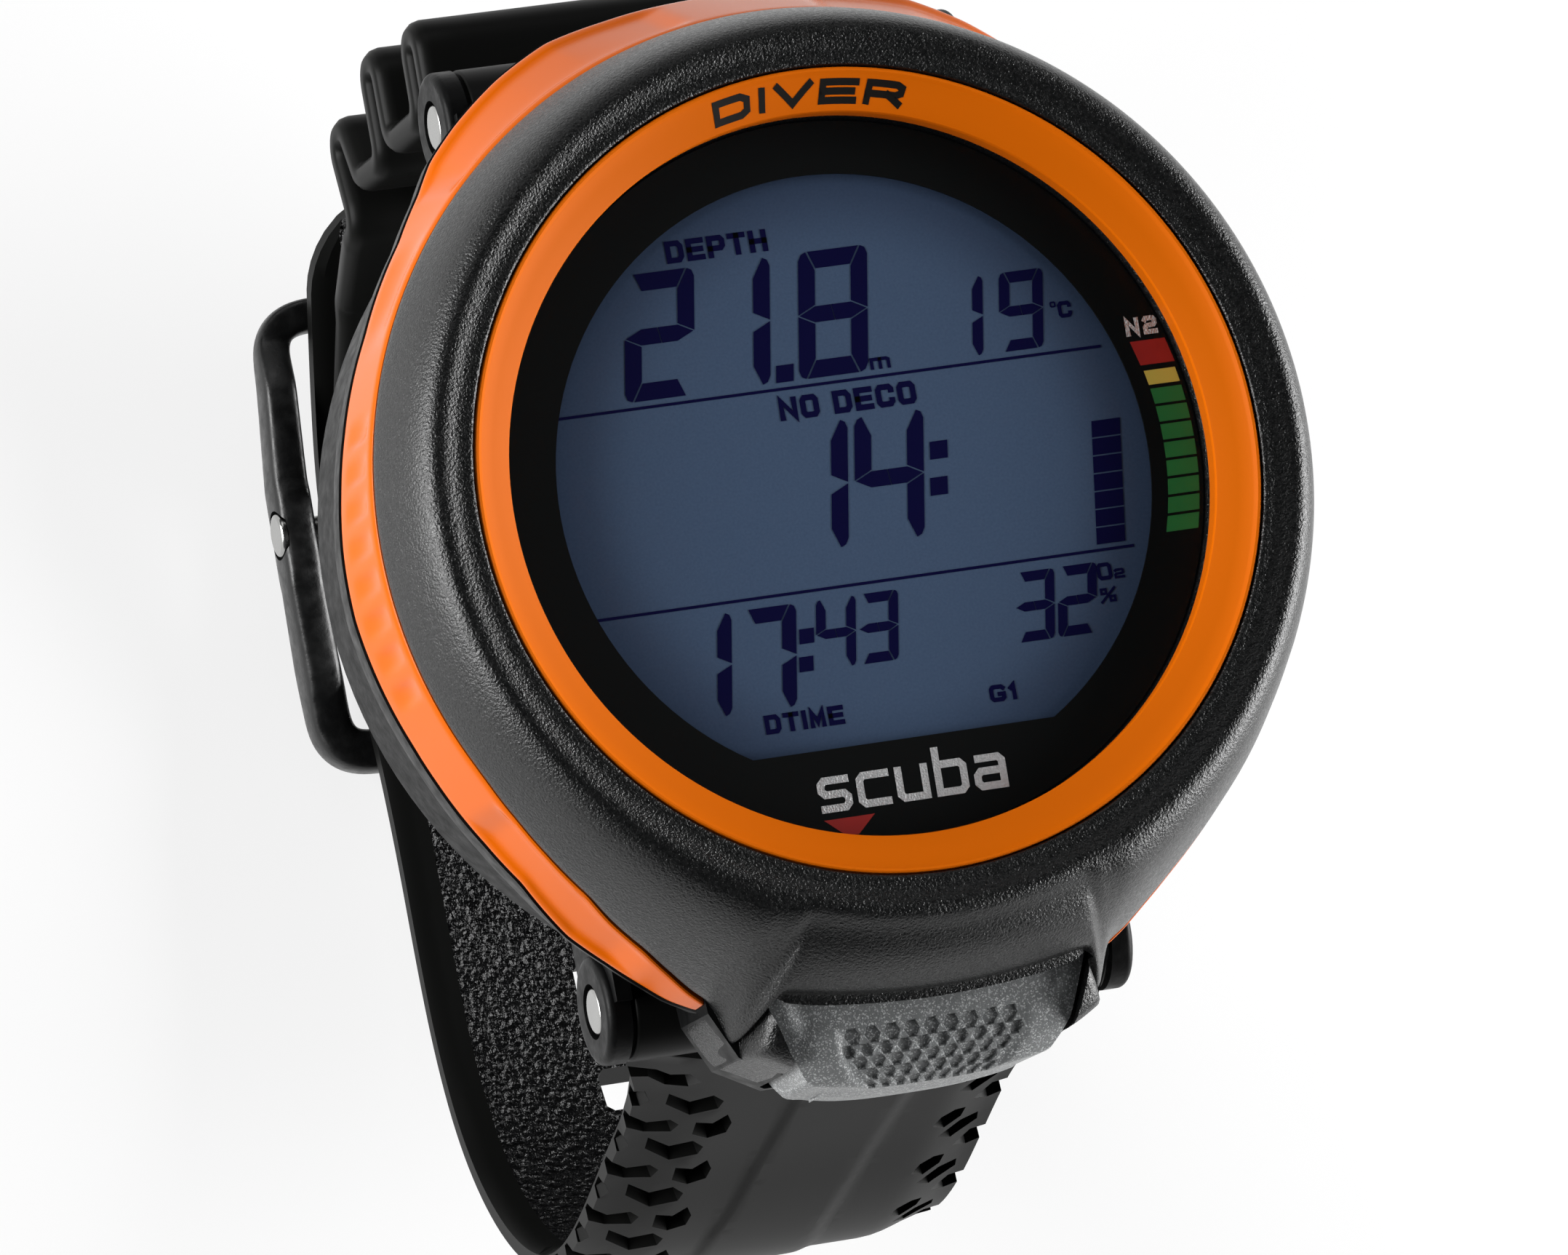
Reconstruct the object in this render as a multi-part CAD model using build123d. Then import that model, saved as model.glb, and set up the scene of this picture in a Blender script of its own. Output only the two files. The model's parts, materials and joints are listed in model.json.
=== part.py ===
from build123d import *
import os
from math import cos, sin, radians

# Wrist dive computer with its rubber strap buckled into a loop.
# Millimetres. The origin is the centre of the flat case back. +Z points out of the display,
# +Y to 12 o'clock and +X to 3 o'clock, so the wrist and the strap loop lie at negative Z.

# ---- driving dimensions: case ----
case_r = 32.6            # outer radius of the case and of the bezel below the side trim
cavity_r = 26.6          # radius of the space inside the case
floor_z = 2.4            # thickness of the case floor
joint_z = 15.5           # height of the joint between the case body and the bezel
trim_z = (11.8, 21.6)    # underside and top of the side trim
flange_z = (9.4, 11.75)  # tapered edge of the case under the side trim
lug_step_z = 8.6         # below this height the case is cut back to clear the strap barrels
lug_step_y = 26.9        # where that cut back face stands
lug_y = 31.4             # distance of both strap pins from the centre
lug_z = 4.0              # height of both strap pins
lug_r = 3.85             # radius of the lug ears and of the strap barrels
ear_rim = 0.55           # rounded rim of the ears' outer faces
ear_x = (17.6, 19.3)     # inner and outer face of each lug ear
pin_r = 1.1              # radius of the strap pins and the buckle pin
pin_bore_r = 1.16        # running bore on a pin
pin_head_r = 1.65
pin_inset = 0.35         # how far a pin head sits inside the ear's outer face
recess_r = 1.95          # recess in which a pin head sits

# ---- driving dimensions: bezel, window and display ----
bezel_edge = (33.45, 21.6)       # radius and height of the bezel's lower outer edge
bezel_crest = (30.3, 28.5)       # its soft crest
ring_r = (25.06, 27.9)           # inner and outer radius of the coloured display ring
ring_z = (24.9, 26.5, 28.0)      # underside, inner lip and outer lip of the ring
glass_r = 25.0
glass_z = (24.15, 26.3)
mask_r = 21.2                    # radius of the visible display
mask_flat_y = -18.2              # flat lower edge of the visible display
lcd_r = 23.3
lcd_flat_y = -20.8
lcd_z = (21.4, 23.6)
board_z = (15.0, 16.2)

# ---- driving dimensions: back ----
cover_r = 15.4
cover_bore_r = 15.6
well_r = (16.9, 18.2)
bayonet_turn = 40.0              # degrees from locked to free
battery_r = 12.25                # CR2450 cell
battery_z = (4.4, 9.4)
screw_circle_r = 30.2
board_hole_circle = 24.2
sensor_x = 22.3                  # distance of the pressure sensor and of the buzzer from the centre
contact_x = (-11.5, 11.5)        # the two water contacts
contact_y = -20.6
play = 0.05                      # assembly gap between two parts that sit on each other

# ---- driving dimensions: button ----
button_travel = 1.2
stem_z = 12.0                    # height of the button stem
stem_r = 1.1
bush_r = 2.0
button_back_y = -31.6            # inner face of the button cap
spring_r = (1.6, 0.22)           # mean radius and wire radius of the return spring
spring_turns = 5

# ---- driving dimensions: strap and buckle ----
barrel_half = 17.35              # half length of the strap barrels between the ears
upper_half, upper_end_half = 16.4, 15.2
long_half = 14.4                 # half width of the long strap
long_thick = 2.4
pleat_thick = 2.2
slot_size = (6.2, 3.8)           # width and length of the strap's adjustment slots
slot_pitch = 8.6
slot_count = 8
first_slot = 63.3                # along the strap from its root to the first slot
buckle_pin = (13.5, -56.2)       # Y and Z of the buckle pin
knuckle_r = 2.0
prong_half = 2.6
rail_half = 19.1                 # outer half width of the buckle at its pin
rail_end_half = 17.7             # outer half width of the buckle at its two ends
rail_width = 2.9

os.makedirs("parts", exist_ok=True)


def save(name, shape):
    shape.label = name
    export_step(shape, f"parts/{name}.step")


def disc(r, z0, z1, x=0.0, y=0.0):
    return Pos(x, y, (z0 + z1) / 2) * Cylinder(r, z1 - z0)


def tube(r_in, r_out, z0, z1, x=0.0, y=0.0):
    return disc(r_out, z0, z1, x, y) - disc(r_in, z0 - 1, z1 + 1, x, y)


def block(x0, x1, y0, y1, z0, z1):
    return Pos((x0 + x1) / 2, (y0 + y1) / 2, (z0 + z1) / 2) * Box(x1 - x0, y1 - y0, z1 - z0)


def cross_rod(r, x0, x1, y, z):
    """A round rod along X."""
    return Pos((x0 + x1) / 2, y, z) * Rot(0, 90, 0) * Cylinder(r, abs(x1 - x0))


def turned(points):
    """A solid turned about Z from (radius, height) points."""
    return revolve(Plane.XZ * make_face(Polyline(*points, close=True)), Axis.Z)


def slab_x(face_points, half):
    """A prism along X from (y, z) points."""
    return extrude(Plane.YZ * make_face(Polyline(*face_points, close=True)), half, both=True)


def polar(r, deg):
    return r * cos(radians(deg)), r * sin(radians(deg))


# ---- case body ----
def case_body():
    body = disc(case_r, 3.0, joint_z) + turned([(0, 0), (case_r - 1.6, 0), (case_r, 3.0), (0, 3.0)])
    for side in (1, -1):
        y0, y1 = sorted((side * lug_step_y, side * 40))
        body -= block(-40, 40, y0, y1, -1, lug_step_z)
        for x in (1, -1):
            x0, x1 = sorted((x * ear_x[0], x * ear_x[1]))
            ear = cross_rod(lug_r, x0, x1, side * lug_y, lug_z)
            rims = ear.edges().filter_by(GeomType.CIRCLE).sort_by(Axis.X)
            ear = fillet(rims[-1] if x > 0 else rims[0], ear_rim)
            y0, y1 = sorted((side * 20, side * lug_y))
            inner_x = x * (ear_x[1] - ear_rim)
            body += ear + block(min(x * ear_x[0], inner_x), max(x * ear_x[0], inner_x), y0, y1,
                                lug_z - lug_r, lug_step_z)
    body += nose() + case_flange()
    body -= disc(cavity_r, lug_step_z, joint_z + 1)
    inner = disc(cavity_r, floor_z, lug_step_z) & block(-40, 40, -24.6, 24.6, 0, 20)
    body -= inner
    body += tube(well_r[0], well_r[1], floor_z - 0.5, 9.6)
    body -= disc(cover_bore_r, -1, floor_z + 0.2)
    for k in range(3):
        entry = block(cover_r - 1, well_r[0] - 0.2, -3.6, 3.6, -1, floor_z + 0.2)
        body -= Rot(0, 0, 120 * k + bayonet_turn) * entry
    body -= tube(cavity_r + 0.3, cavity_r + 1.9, joint_z - 1.5, joint_z + 1)
    for side in (1, -1):
        for x in (1, -1):
            ear_mid = x * (ear_x[0] + ear_x[1]) / 2
            body -= cross_rod(pin_r + 0.02, ear_mid - 1.5, ear_mid + 1.5, side * lug_y, lug_z)
            body -= cross_rod(recess_r, x * ear_x[1] - 0.6, x * ear_x[1] + 0.6, side * lug_y, lug_z)
    for k in range(4):
        x, y = polar(screw_circle_r, 45 + 90 * k)
        body -= disc(1.0, -1, 20, x, y) + disc(1.65, -1, 1.9, x, y)
    body -= cross_y(bush_r + 0.02, -31, -25)
    body -= button_pocket()
    body -= disc(2.05, -1, 4, sensor_x, 0) + disc(3.6, -1, 1.0, sensor_x, 0)
    for x in contact_x:
        body -= disc(1.25, -1, 4, x, contact_y) + disc(2.1, -1, 0.7, x, contact_y)
    return body


def nose_outline(grow=0.0):
    half = [(15.2 + grow, -24.0), (14.6 + grow, -33.9), (13.0 + grow, -37.2 - grow), (9.8, -39.0 - grow)]
    return half + [(-x, y) for x, y in reversed(half)]


def nose():
    """The block at 6 o'clock that guides the button."""
    plan = make_face(Polyline(*nose_outline(), close=True))
    return extrude(Pos(0, 0, lug_step_z) * plan, joint_z - lug_step_z)


def button_outline(grow=0.0, back=button_back_y):
    half = [(11.7 + grow, back), (11.7 + grow, -33.6), (9.5 + grow, -39.2 - grow), (6.0, -41.0 - grow)]
    return half + [(-x, y) for x, y in reversed(half)]


def button_pocket():
    """The space that the button cap moves in, open towards 6 o'clock."""
    outline = button_outline(0.35, back=button_back_y + button_travel + 0.3)
    return extrude(Pos(0, 0, 9.6) * make_face(Polyline(*outline, close=True)), 10.9)


# ---- bezel, ring, trim ----
def bezel():
    """The textured top shell with the hood over the button."""
    shell = turned([(cavity_r, joint_z), (case_r, joint_z), (case_r, bezel_edge[1]), bezel_edge,
                    (32.9, 24.6), (31.8, 27.2), bezel_crest, (29.2, 28.3), (ring_r[1], ring_z[2]),
                    (ring_r[1], ring_z[0] - 0.1), (glass_r + 0.04, ring_z[0] - 0.1), (glass_r + 0.04, 23.3),
                    (23.8, 23.3), (23.8, 22.4), (cavity_r, 22.4)])
    chin = extrude(Pos(0, 0, joint_z) * make_face(Polyline(*nose_outline(), close=True)), 9.5)
    hood_side = [(-20, 15), (-20, 30), (-31.2, 25.4), (-33.9, 22.4), (-33.9, 20.5), (-40, 18.4), (-40, 15)]
    chin &= slab_x(hood_side, 30)
    chin -= disc(case_r - 0.5, joint_z - 1, 30)
    shell += chin
    shell -= button_pocket()
    for k in range(4):
        x, y = polar(screw_circle_r, 45 + 90 * k)
        shell -= disc(0.95, joint_z - 1, 20.6, x, y)
    return shell


trim_radii = [(90, 36.6), (104, 36.8), (113, 36.9), (124, 36.1), (133, 34.7), (142, 33.8), (155, 33.4),
              (175, 33.35), (195, 33.45), (212, 33.6), (224, 34.3), (234, 35.3), (246, 36.4)]


def trim_plan(grow=0.0):
    """Outline of the side trim, open at 6 o'clock, as a face."""
    left = [polar(r + grow, a) for a, r in trim_radii]
    right = [(-x, y) for x, y in reversed(left)]
    outer = Spline(*left) + Spline(*right)
    tip_l, tip_r = polar(32.0, 246), polar(32.0, 294)
    ends = Line(left[-1], tip_l) + Line(tip_r, right[0])
    return make_face(outer + ends + Polyline(tip_l, (0, -5), tip_r))


def side_trim():
    """The coloured horseshoe that clips round the side of the case."""
    band = extrude(Pos(0, 0, trim_z[0]) * trim_plan(), trim_z[1] - trim_z[0])
    cone = turned([(0, 11), (36.8, 11.8), (37.9, 12.5), (bezel_edge[0], trim_z[1]), (0, trim_z[1])])
    gap = extrude(Pos(0, 0, 10) * make_face(Polyline(*nose_outline(0.3), close=True)), 20)
    return (band & cone) - disc(case_r + 0.05, 10, 30) - gap


def case_flange():
    """The edge of the case that the side trim rests on."""
    foot = extrude(Pos(0, 0, flange_z[0]) * trim_plan(-0.7), flange_z[1] - flange_z[0])
    under = turned([(0, flange_z[0]), (case_r, flange_z[0]), (38.0, 11.2), (38.0, flange_z[1]),
                    (0, flange_z[1])])
    return (foot & under) - disc(cavity_r + 3, 8, 14)


def display_ring():
    return turned([(ring_r[0], ring_z[0]), (ring_r[1] - 0.05, ring_z[0]), (ring_r[1] - 0.05, ring_z[2] - 0.3),
                   (ring_r[1] - 0.25, ring_z[2]), (ring_r[0], ring_z[1])])


def display_mask():
    ring = disc(glass_r - 0.1, 23.97, 24.13) - disc(mask_r, 23, 25)
    chord = disc(glass_r - 0.1, 23.97, 24.13) & block(-30, 30, -30, mask_flat_y, 20, 30)
    return ring + chord


# ---- electronics and back ----
def circuit_board():
    board = disc(cavity_r - 0.4, *board_z)
    for k in range(3):
        x, y = polar(board_hole_circle, 90 + 120 * k)
        board -= disc(1.1, board_z[0] - 1, board_z[1] + 1, x, y)
    return board


def battery_cover():
    cover = disc(cover_r, 0, floor_z) + disc(14.4, floor_z, floor_z + 0.3)
    for k in range(3):
        cover += Rot(0, 0, 120 * k) * block(12.8, well_r[0] - 0.4, -3.2, 3.2, floor_z + 0.3, floor_z + 1.4)
    cover += disc(14.4, floor_z + 0.3, floor_z + 1.4)
    cover -= tube(14.0, 16.0, 0.9, 2.0)
    for x in (-7.5, 7.5):
        cover -= Pos(x, 0, 0.4) * Box(7.0, 2.2, 1.6)
    return cover


def screw(x, y, z_head, z_tip, head_r, shank_r, head_h):
    body = disc(head_r, z_head, z_head + head_h, x, y) + disc(shank_r, z_head + head_h, z_tip, x, y)
    return body - Pos(x, y, z_head) * Box(0.5, 2 * head_r, 0.7)


def chips():
    top = [(-9, 4, 9, 9, 1.4), (8, 9, 7, 6, 1.2), (10, -8, 5, 5, 1.0), (-6, -12, 4, 8, 1.1)]
    made = [Pos(x, y, board_z[1] + h / 2) * Box(w, d, h) for x, y, w, d, h in top]
    crystal = Pos(-15, -14, board_z[0] - 1.2) * Cylinder(1.6, 2.4)
    return Compound(children=made + [crystal])


def board_screws():
    length = 17.5
    heads = [polar(board_hole_circle, 90 + 120 * k) for k in range(3)]
    return Compound(children=[screw(x, y, board_z[0] - 1.3, length, 1.8, 0.95, 1.25) for x, y in heads])


def case_screws():
    heads = [polar(screw_circle_r, 45 + 90 * k) for k in range(4)]
    return Compound(children=[screw(x, y, 0.4, 20.4, 1.6, 0.9, 1.4) for x, y in heads])


def buzzer():
    """A round sounder bonded to the case floor."""
    foot_z = floor_z + play
    foot = disc(4.0, foot_z, foot_z + 0.55, -sensor_x, 0)
    return foot + disc(3.0, foot_z + 0.55, foot_z + 0.95, -sensor_x, 0)


def battery_cell():
    return disc(battery_r, *battery_z)


def cover_seal():
    return Pos(0, 0, 1.45) * Torus(14.75, 0.5)


def battery_spring():
    """The leaf that presses on the top of the cell, on a round base."""
    arm = block(-1.5, 1.5, 2.5, 11, 9.45, 9.7)
    leg = block(-1.5, 1.5, 2.5, 3.2, 9.45, 10.1)
    return disc(4.0, 10.0, 10.25) + arm + leg


def battery_tray():
    return disc(well_r[0] - play, 10.3, 11.2)


def side_contact():
    return block(12.3, 12.7, -3, 3, 5.0, 10.25)


def pressure_sensor():
    port = disc(2.0, 1.0, floor_z + play, sensor_x, 0)
    return disc(3.2, floor_z + play, 6.4, sensor_x, 0) + port


def sensor_grille():
    grille = disc(3.55, 0.2, 0.95, sensor_x, 0)
    for k in range(-1, 2):
        grille -= Pos(sensor_x + 1.6 * k, 0, 0.5) * Box(0.6, 3.6, 2)
    return grille


def water_contacts():
    """Two studs in the case back that sense the water."""
    studs = [disc(2.0, play, 0.65, x, contact_y) + disc(1.2, 0.65, 5.5, x, contact_y) for x in contact_x]
    return Compound(children=studs)


# ---- display stack ----
def display_window():
    return disc(glass_r, *glass_z)


def window_seal():
    return tube(23.9, 24.9, 23.32, 23.94)


def case_seal():
    return Pos(0, 0, joint_z - 0.72) * Torus(cavity_r + 1.1, 0.68)


def lcd_panel():
    return disc(lcd_r, *lcd_z) & block(-30, 30, lcd_flat_y, 30, 20, 25)


def backlight_plate():
    return block(-16, 16, -18, 16, 20.0, 21.2)


def display_frame():
    """The tray that carries the panel, with seats for the light guide and the contact strips."""
    frame = disc(25.6, 17.6, 21.3)
    frame -= block(-16.3, 16.3, -18.3, 16.3, 19.9, 25)
    frame -= block(-14, 14, -16, 14, 17, 20)
    frame -= block(-13.3, 13.3, -20.9, -18.9, 17, 22)
    return frame - block(-12.3, 12.3, 17.9, 19.9, 17, 22)


def contact_strip_lower():
    return block(-13, 13, -20.6, -19.2, board_z[1], lcd_z[0])


def contact_strip_upper():
    return block(-12, 12, 18.2, 19.6, board_z[1], lcd_z[0])


def press_switch():
    return block(-2.5, 2.5, -21.1, -18.6, 11.0, board_z[0] - 0.02)


# ---- straps ----
def strip(line, thick, x0, x1):
    """A strip of constant thickness from x0 to x1 that follows a line in the YZ plane."""
    outline = offset(Plane.YZ * line, thick / 2, kind=Kind.INTERSECTION, side=Side.BOTH, closed=True)
    return Pos(x0, 0, 0) * extrude(make_face(outline), x1 - x0)


def smooth_strip(line, thick, half):
    """A strip that follows a smooth line in the YZ plane, between two splines beside it."""
    path = Plane.YZ * line
    sides = {1: [], -1: []}
    count = round(path.length / 5.5)
    for k in range(count + 1):
        p, t = path.position_at(k / count), path.tangent_at(k / count)
        for side, points in sides.items():
            points.append((p.Y - side * t.Z * thick / 2, p.Z + side * t.Y * thick / 2))
    a, b = sides[1], sides[-1]
    outline = Spline(*a) + Line(a[-1], b[-1]) + Spline(*b) + Line(b[0], a[0])
    return extrude(Plane.YZ * make_face(outline), half, both=True)


def waisted(stations):
    """A cutter along Y whose half width follows (height, half width) stations."""
    right = [(w, z) for z, w in stations]
    left = [(-w, z) for z, w in reversed(stations)]
    return extrude(Plane.XZ * make_face(Polyline(*right, *left, close=True)), 70, both=True)


def long_strap():
    """The long strap: from its barrel round the wrist, through the buckle, to its free tail."""
    line = Spline((-34.0, 3.0), (-37.2, -6.4), (-40.4, -15.8), (-44.1, -26.6), (-45.2, -34.0),
                  (-39.8, -47.4), (-33.1, -52.7), (-26.1, -54.9), (-11.6, -55.7), (-3.5, -56.6), (5.0, -58.6),
                  (13.5, -60.15), (21.8, -57.6), (30.3, -53.0), (37.6, -48.9))
    strap = smooth_strip(line, long_thick, barrel_half)
    strap &= waisted([(9, barrel_half), (0.5, barrel_half), (-6.0, long_half), (-70, long_half)])
    rounded_tip = extrude(Pos(0, 18.4, -70) * RectangleRounded(2 * long_half, 40, 8.0), 35)
    strap -= block(-20, 20, 20, 42, -70, -35) - rounded_tip
    path = Plane.YZ * line
    for k in range(slot_count):
        along = first_slot + slot_pitch * k
        at = Plane(path.position_at(along, PositionMode.LENGTH), x_dir=(1, 0, 0),
                   z_dir=path.tangent_at(along, PositionMode.LENGTH))
        strap -= at * Box(slot_size[0], 8, slot_size[1])
    strap += cross_rod(lug_r, -barrel_half, barrel_half, -lug_y, lug_z)
    return strap - cross_rod(pin_bore_r, -30, 30, -lug_y, lug_z)


def short_strap():
    """The short strap with its stretch pleats, from its barrel to its knuckles on the buckle pin."""
    line = FilletPolyline((33.9, 3.0), (35.3, -7.3), (40.5, -7.2), (40.5, -10.2), (34.9, -10.4),
                          (34.9, -18.6), (41.1, -18.7), (41.1, -21.8), (34.2, -21.8), (34.3, -28.0),
                          (38.6, -30.2), (38.2, -33.2), (31.6, -31.4), (28.0, -42.8), (15.2, -54.0),
                          radius=1.45)
    strap = strip(line, pleat_thick, -barrel_half, barrel_half)
    strap &= waisted([(9, barrel_half), (-2, barrel_half), (-5, upper_half), (-34, upper_half),
                      (-44, upper_end_half), (-70, upper_end_half)])
    strap += cross_rod(lug_r, -barrel_half, barrel_half, lug_y, lug_z)
    strap += cross_rod(knuckle_r, -upper_end_half, upper_end_half, *buckle_pin)
    strap -= block(-prong_half - 0.4, prong_half + 0.4, 8, 17.6, -60, -51.2)
    strap -= cross_rod(pin_bore_r, -30, 30, lug_y, lug_z)
    return strap - cross_rod(pin_bore_r, -30, 30, *buckle_pin)


# ---- buckle ----
def buckle_plan(grow, y_top, y_low, corner):
    """A barrel shaped outline, widest at the pin."""
    y_pin = buckle_pin[0]
    mid, end = rail_half + grow, rail_end_half + grow
    half = [(end, y_top), (mid, y_pin + 3), (mid, y_pin - 3), (end, y_low)]
    line = Polyline(*half, *[(-x, y) for x, y in reversed(half)], close=True)
    face = make_face(line)
    ends = [v for v in face.vertices() if abs(abs(v.X) - end) < 0.01]
    return fillet(ends, corner)


def buckle_frame():
    """Two rails with a keeper bar over the tail and an end bar over the long strap."""
    y_pin, z_pin = buckle_pin
    plan = extrude(Pos(0, 0, -70) * buckle_plan(0, 31.2, -4.6, 5.0), 30)
    window = extrude(Pos(0, 0, -71) * buckle_plan(-rail_width, 28.6, -1.2, 2.2), 32)
    side = make_face(Polyline(
        (31.5, -56.2), (28.2, -56.6), (25.0, -54.8), (y_pin + 4, z_pin + 1.7), (y_pin, z_pin + 2.4),
        (y_pin - 4, z_pin + 1.3), (2.5, -57.2), (-0.8, -58.9), (-5, -59.3), (-5, -62.2), (-1.5, -62.4),
        (3.5, -61.4), (y_pin - 4, z_pin - 2.6), (y_pin, z_pin - 2.6), (y_pin + 4, z_pin - 2.3),
        (24.5, -58.4), (31.5, -58.9),
        close=True))
    frame = (plan - window) & extrude(Plane.YZ * side, 25, both=True)
    frame -= cross_rod(pin_r + 0.02, -30, 30, y_pin, z_pin)
    for x in (-1, 1):
        frame -= cross_rod(recess_r - 0.1, x * rail_half - 0.5, x * rail_half + 0.5, y_pin, z_pin)
    frame -= block(-prong_half - 0.5, prong_half + 0.5, -6, 0, -64, -61.2)
    return frame


def buckle_prong():
    """The tongue: an eye on the pin and an arm out through a slot and down to the end bar."""
    y_pin, z_pin = buckle_pin
    line = FilletPolyline((y_pin - 1.2, z_pin - 1.1), (10.3, -58.4), (10.1, -62.2), (7.6, -62.9),
                          (-3.6, -62.6), radius=0.9)
    arm = strip(line, 1.4, -prong_half, prong_half)
    eye = cross_rod(knuckle_r, -prong_half, prong_half, y_pin, z_pin)
    return arm + eye - cross_rod(pin_bore_r, -10, 10, y_pin, z_pin)


def steel_pin(half, y, z):
    """A cross pin with a domed head at each end."""
    pin = cross_rod(pin_r, -half + 0.2, half - 0.2, y, z)
    for x in (-1, 1):
        head = cross_rod(pin_head_r, x * (half - 0.2), x * (half + 0.3), y, z)
        ends = head.edges().filter_by(GeomType.CIRCLE).sort_by(Axis.X)
        pin += fillet(ends[-1] if x > 0 else ends[0], 0.3)
    return pin


def lower_pin():
    return steel_pin(ear_x[1] - pin_inset, -lug_y, lug_z)


def upper_pin():
    return steel_pin(ear_x[1] - pin_inset, lug_y, lug_z)


def cross_pin():
    """The pin of the buckle."""
    return steel_pin(rail_half - 0.25, *buckle_pin)


# ---- button ----
def button_cap():
    """The wide finger piece, sloped at the top and rounded at its lower front edge."""
    cap = extrude(Pos(0, 0, 9.85) * make_face(Polyline(*button_outline(), close=True)), 10.2)
    top = slab_x([(-45, 5), (-45, 13.0), (-40.8, 15.4), (-39.4, 17.2), (-36.8, 18.6), (-33.6, 19.9),
                  (-31, 20.0), (-31, 5)], 30)
    cap &= top
    return cap - cross_y(1.95, button_back_y - 2.2, -31) - cross_y(stem_r + 0.02, -35.8, -31)


def cross_y(r, y0, y1, z=stem_z):
    return Pos(0, (y0 + y1) / 2, z) * Rot(90, 0, 0) * Cylinder(r, y1 - y0)


def plunger():
    stem = cross_y(stem_r, -35.7, -22.6)
    return stem - (cross_y(stem_r + 1, -23.6, -23.1) - cross_y(stem_r - 0.35, -24, -23))


def stem_bush():
    return cross_y(bush_r, -30.0, -25.4) - cross_y(stem_r + 0.05, -31, -25) - cross_y(1.78, -29.0, -27.8)


def stem_seal():
    return Pos(0, -28.4, stem_z) * Rot(90, 0, 0) * Torus(stem_r + 0.35, 0.29)


def stem_clip():
    return cross_y(2.1, -23.55, -23.15) - cross_y(stem_r - 0.3, -24, -23)


def button_spring():
    """A coil spring round the stem, as touching rings on a thin bar."""
    y0, y1 = button_back_y - 2.15, -30.05
    r, wire = spring_r
    pitch = (y1 - y0) / spring_turns
    spring = block(-wire, wire, y0 + pitch / 2, y1 - pitch / 2, stem_z - r - wire / 2, stem_z - r + wire / 2)
    for k in range(spring_turns):
        spring += Pos(0, y0 + pitch * (k + 0.5), stem_z) * Rot(90, 0, 0) * Torus(r, wire)
    return spring


# ---- write every piece ----
pieces = {
    "case_body": case_body,
    "bezel": bezel,
    "side_trim": side_trim,
    "display_ring": display_ring,
    "display_window": display_window,
    "display_mask": display_mask,
    "window_seal": window_seal,
    "case_seal": case_seal,
    "lcd_panel": lcd_panel,
    "backlight_plate": backlight_plate,
    "display_frame": display_frame,
    "contact_strip_lower": contact_strip_lower,
    "contact_strip_upper": contact_strip_upper,
    "circuit_board": circuit_board,
    "board_chips": chips,
    "board_screws": board_screws,
    "buzzer": buzzer,
    "battery_cell": battery_cell,
    "battery_cover": battery_cover,
    "cover_seal": cover_seal,
    "battery_spring": battery_spring,
    "battery_tray": battery_tray,
    "side_contact": side_contact,
    "pressure_sensor": pressure_sensor,
    "sensor_grille": sensor_grille,
    "water_contacts": water_contacts,
    "case_screws": case_screws,
    "button_cap": button_cap,
    "button_plunger": plunger,
    "button_bush": stem_bush,
    "button_seal": stem_seal,
    "button_clip": stem_clip,
    "button_spring": button_spring,
    "press_switch": press_switch,
    "long_strap": long_strap,
    "short_strap": short_strap,
    "lower_pin": lower_pin,
    "upper_pin": upper_pin,
    "buckle_frame": buckle_frame,
    "buckle_prong": buckle_prong,
    "buckle_pin": cross_pin,
}
for name, make in pieces.items():
    save(name, make())
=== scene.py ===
import json
import math

import bmesh
import bpy
import numpy as np
from mathutils import Matrix, Vector
from mathutils.geometry import delaunay_2d_cdt


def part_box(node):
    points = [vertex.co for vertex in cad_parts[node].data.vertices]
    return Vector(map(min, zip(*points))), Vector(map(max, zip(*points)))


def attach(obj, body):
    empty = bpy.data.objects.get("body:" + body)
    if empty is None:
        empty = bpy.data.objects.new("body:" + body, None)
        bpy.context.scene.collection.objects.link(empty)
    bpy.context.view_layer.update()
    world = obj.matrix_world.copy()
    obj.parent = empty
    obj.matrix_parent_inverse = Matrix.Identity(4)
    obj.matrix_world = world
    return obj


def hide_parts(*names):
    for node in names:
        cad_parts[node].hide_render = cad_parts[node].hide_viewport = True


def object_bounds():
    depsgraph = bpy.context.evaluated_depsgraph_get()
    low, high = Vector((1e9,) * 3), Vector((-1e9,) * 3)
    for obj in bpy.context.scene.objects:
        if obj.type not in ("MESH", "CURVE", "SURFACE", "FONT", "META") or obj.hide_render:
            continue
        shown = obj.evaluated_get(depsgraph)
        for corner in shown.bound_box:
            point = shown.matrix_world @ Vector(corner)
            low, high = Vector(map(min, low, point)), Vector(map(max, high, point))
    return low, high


# Wrist dive computer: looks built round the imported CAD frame. Shapes are given in millimetres
# and made in metres. +Z points out of the display, +Y to 12 o'clock, +X to 3 o'clock.
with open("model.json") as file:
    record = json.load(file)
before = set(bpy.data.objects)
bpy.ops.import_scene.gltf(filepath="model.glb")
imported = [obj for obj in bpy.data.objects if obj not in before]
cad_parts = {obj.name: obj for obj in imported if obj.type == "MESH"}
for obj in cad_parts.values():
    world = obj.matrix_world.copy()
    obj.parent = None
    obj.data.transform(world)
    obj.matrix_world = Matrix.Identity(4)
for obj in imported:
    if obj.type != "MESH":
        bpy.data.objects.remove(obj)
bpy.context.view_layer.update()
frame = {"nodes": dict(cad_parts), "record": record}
MM = 0.001


# ---------------------------------------------------------------- small maths
def smooth(a, b, x):
    """0 before a, 1 after b, smooth between."""
    t = min(1.0, max(0.0, (x - a) / (b - a)))
    return t * t * (3 - 2 * t)


def mix(a, b, w):
    return a + (b - a) * w


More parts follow.
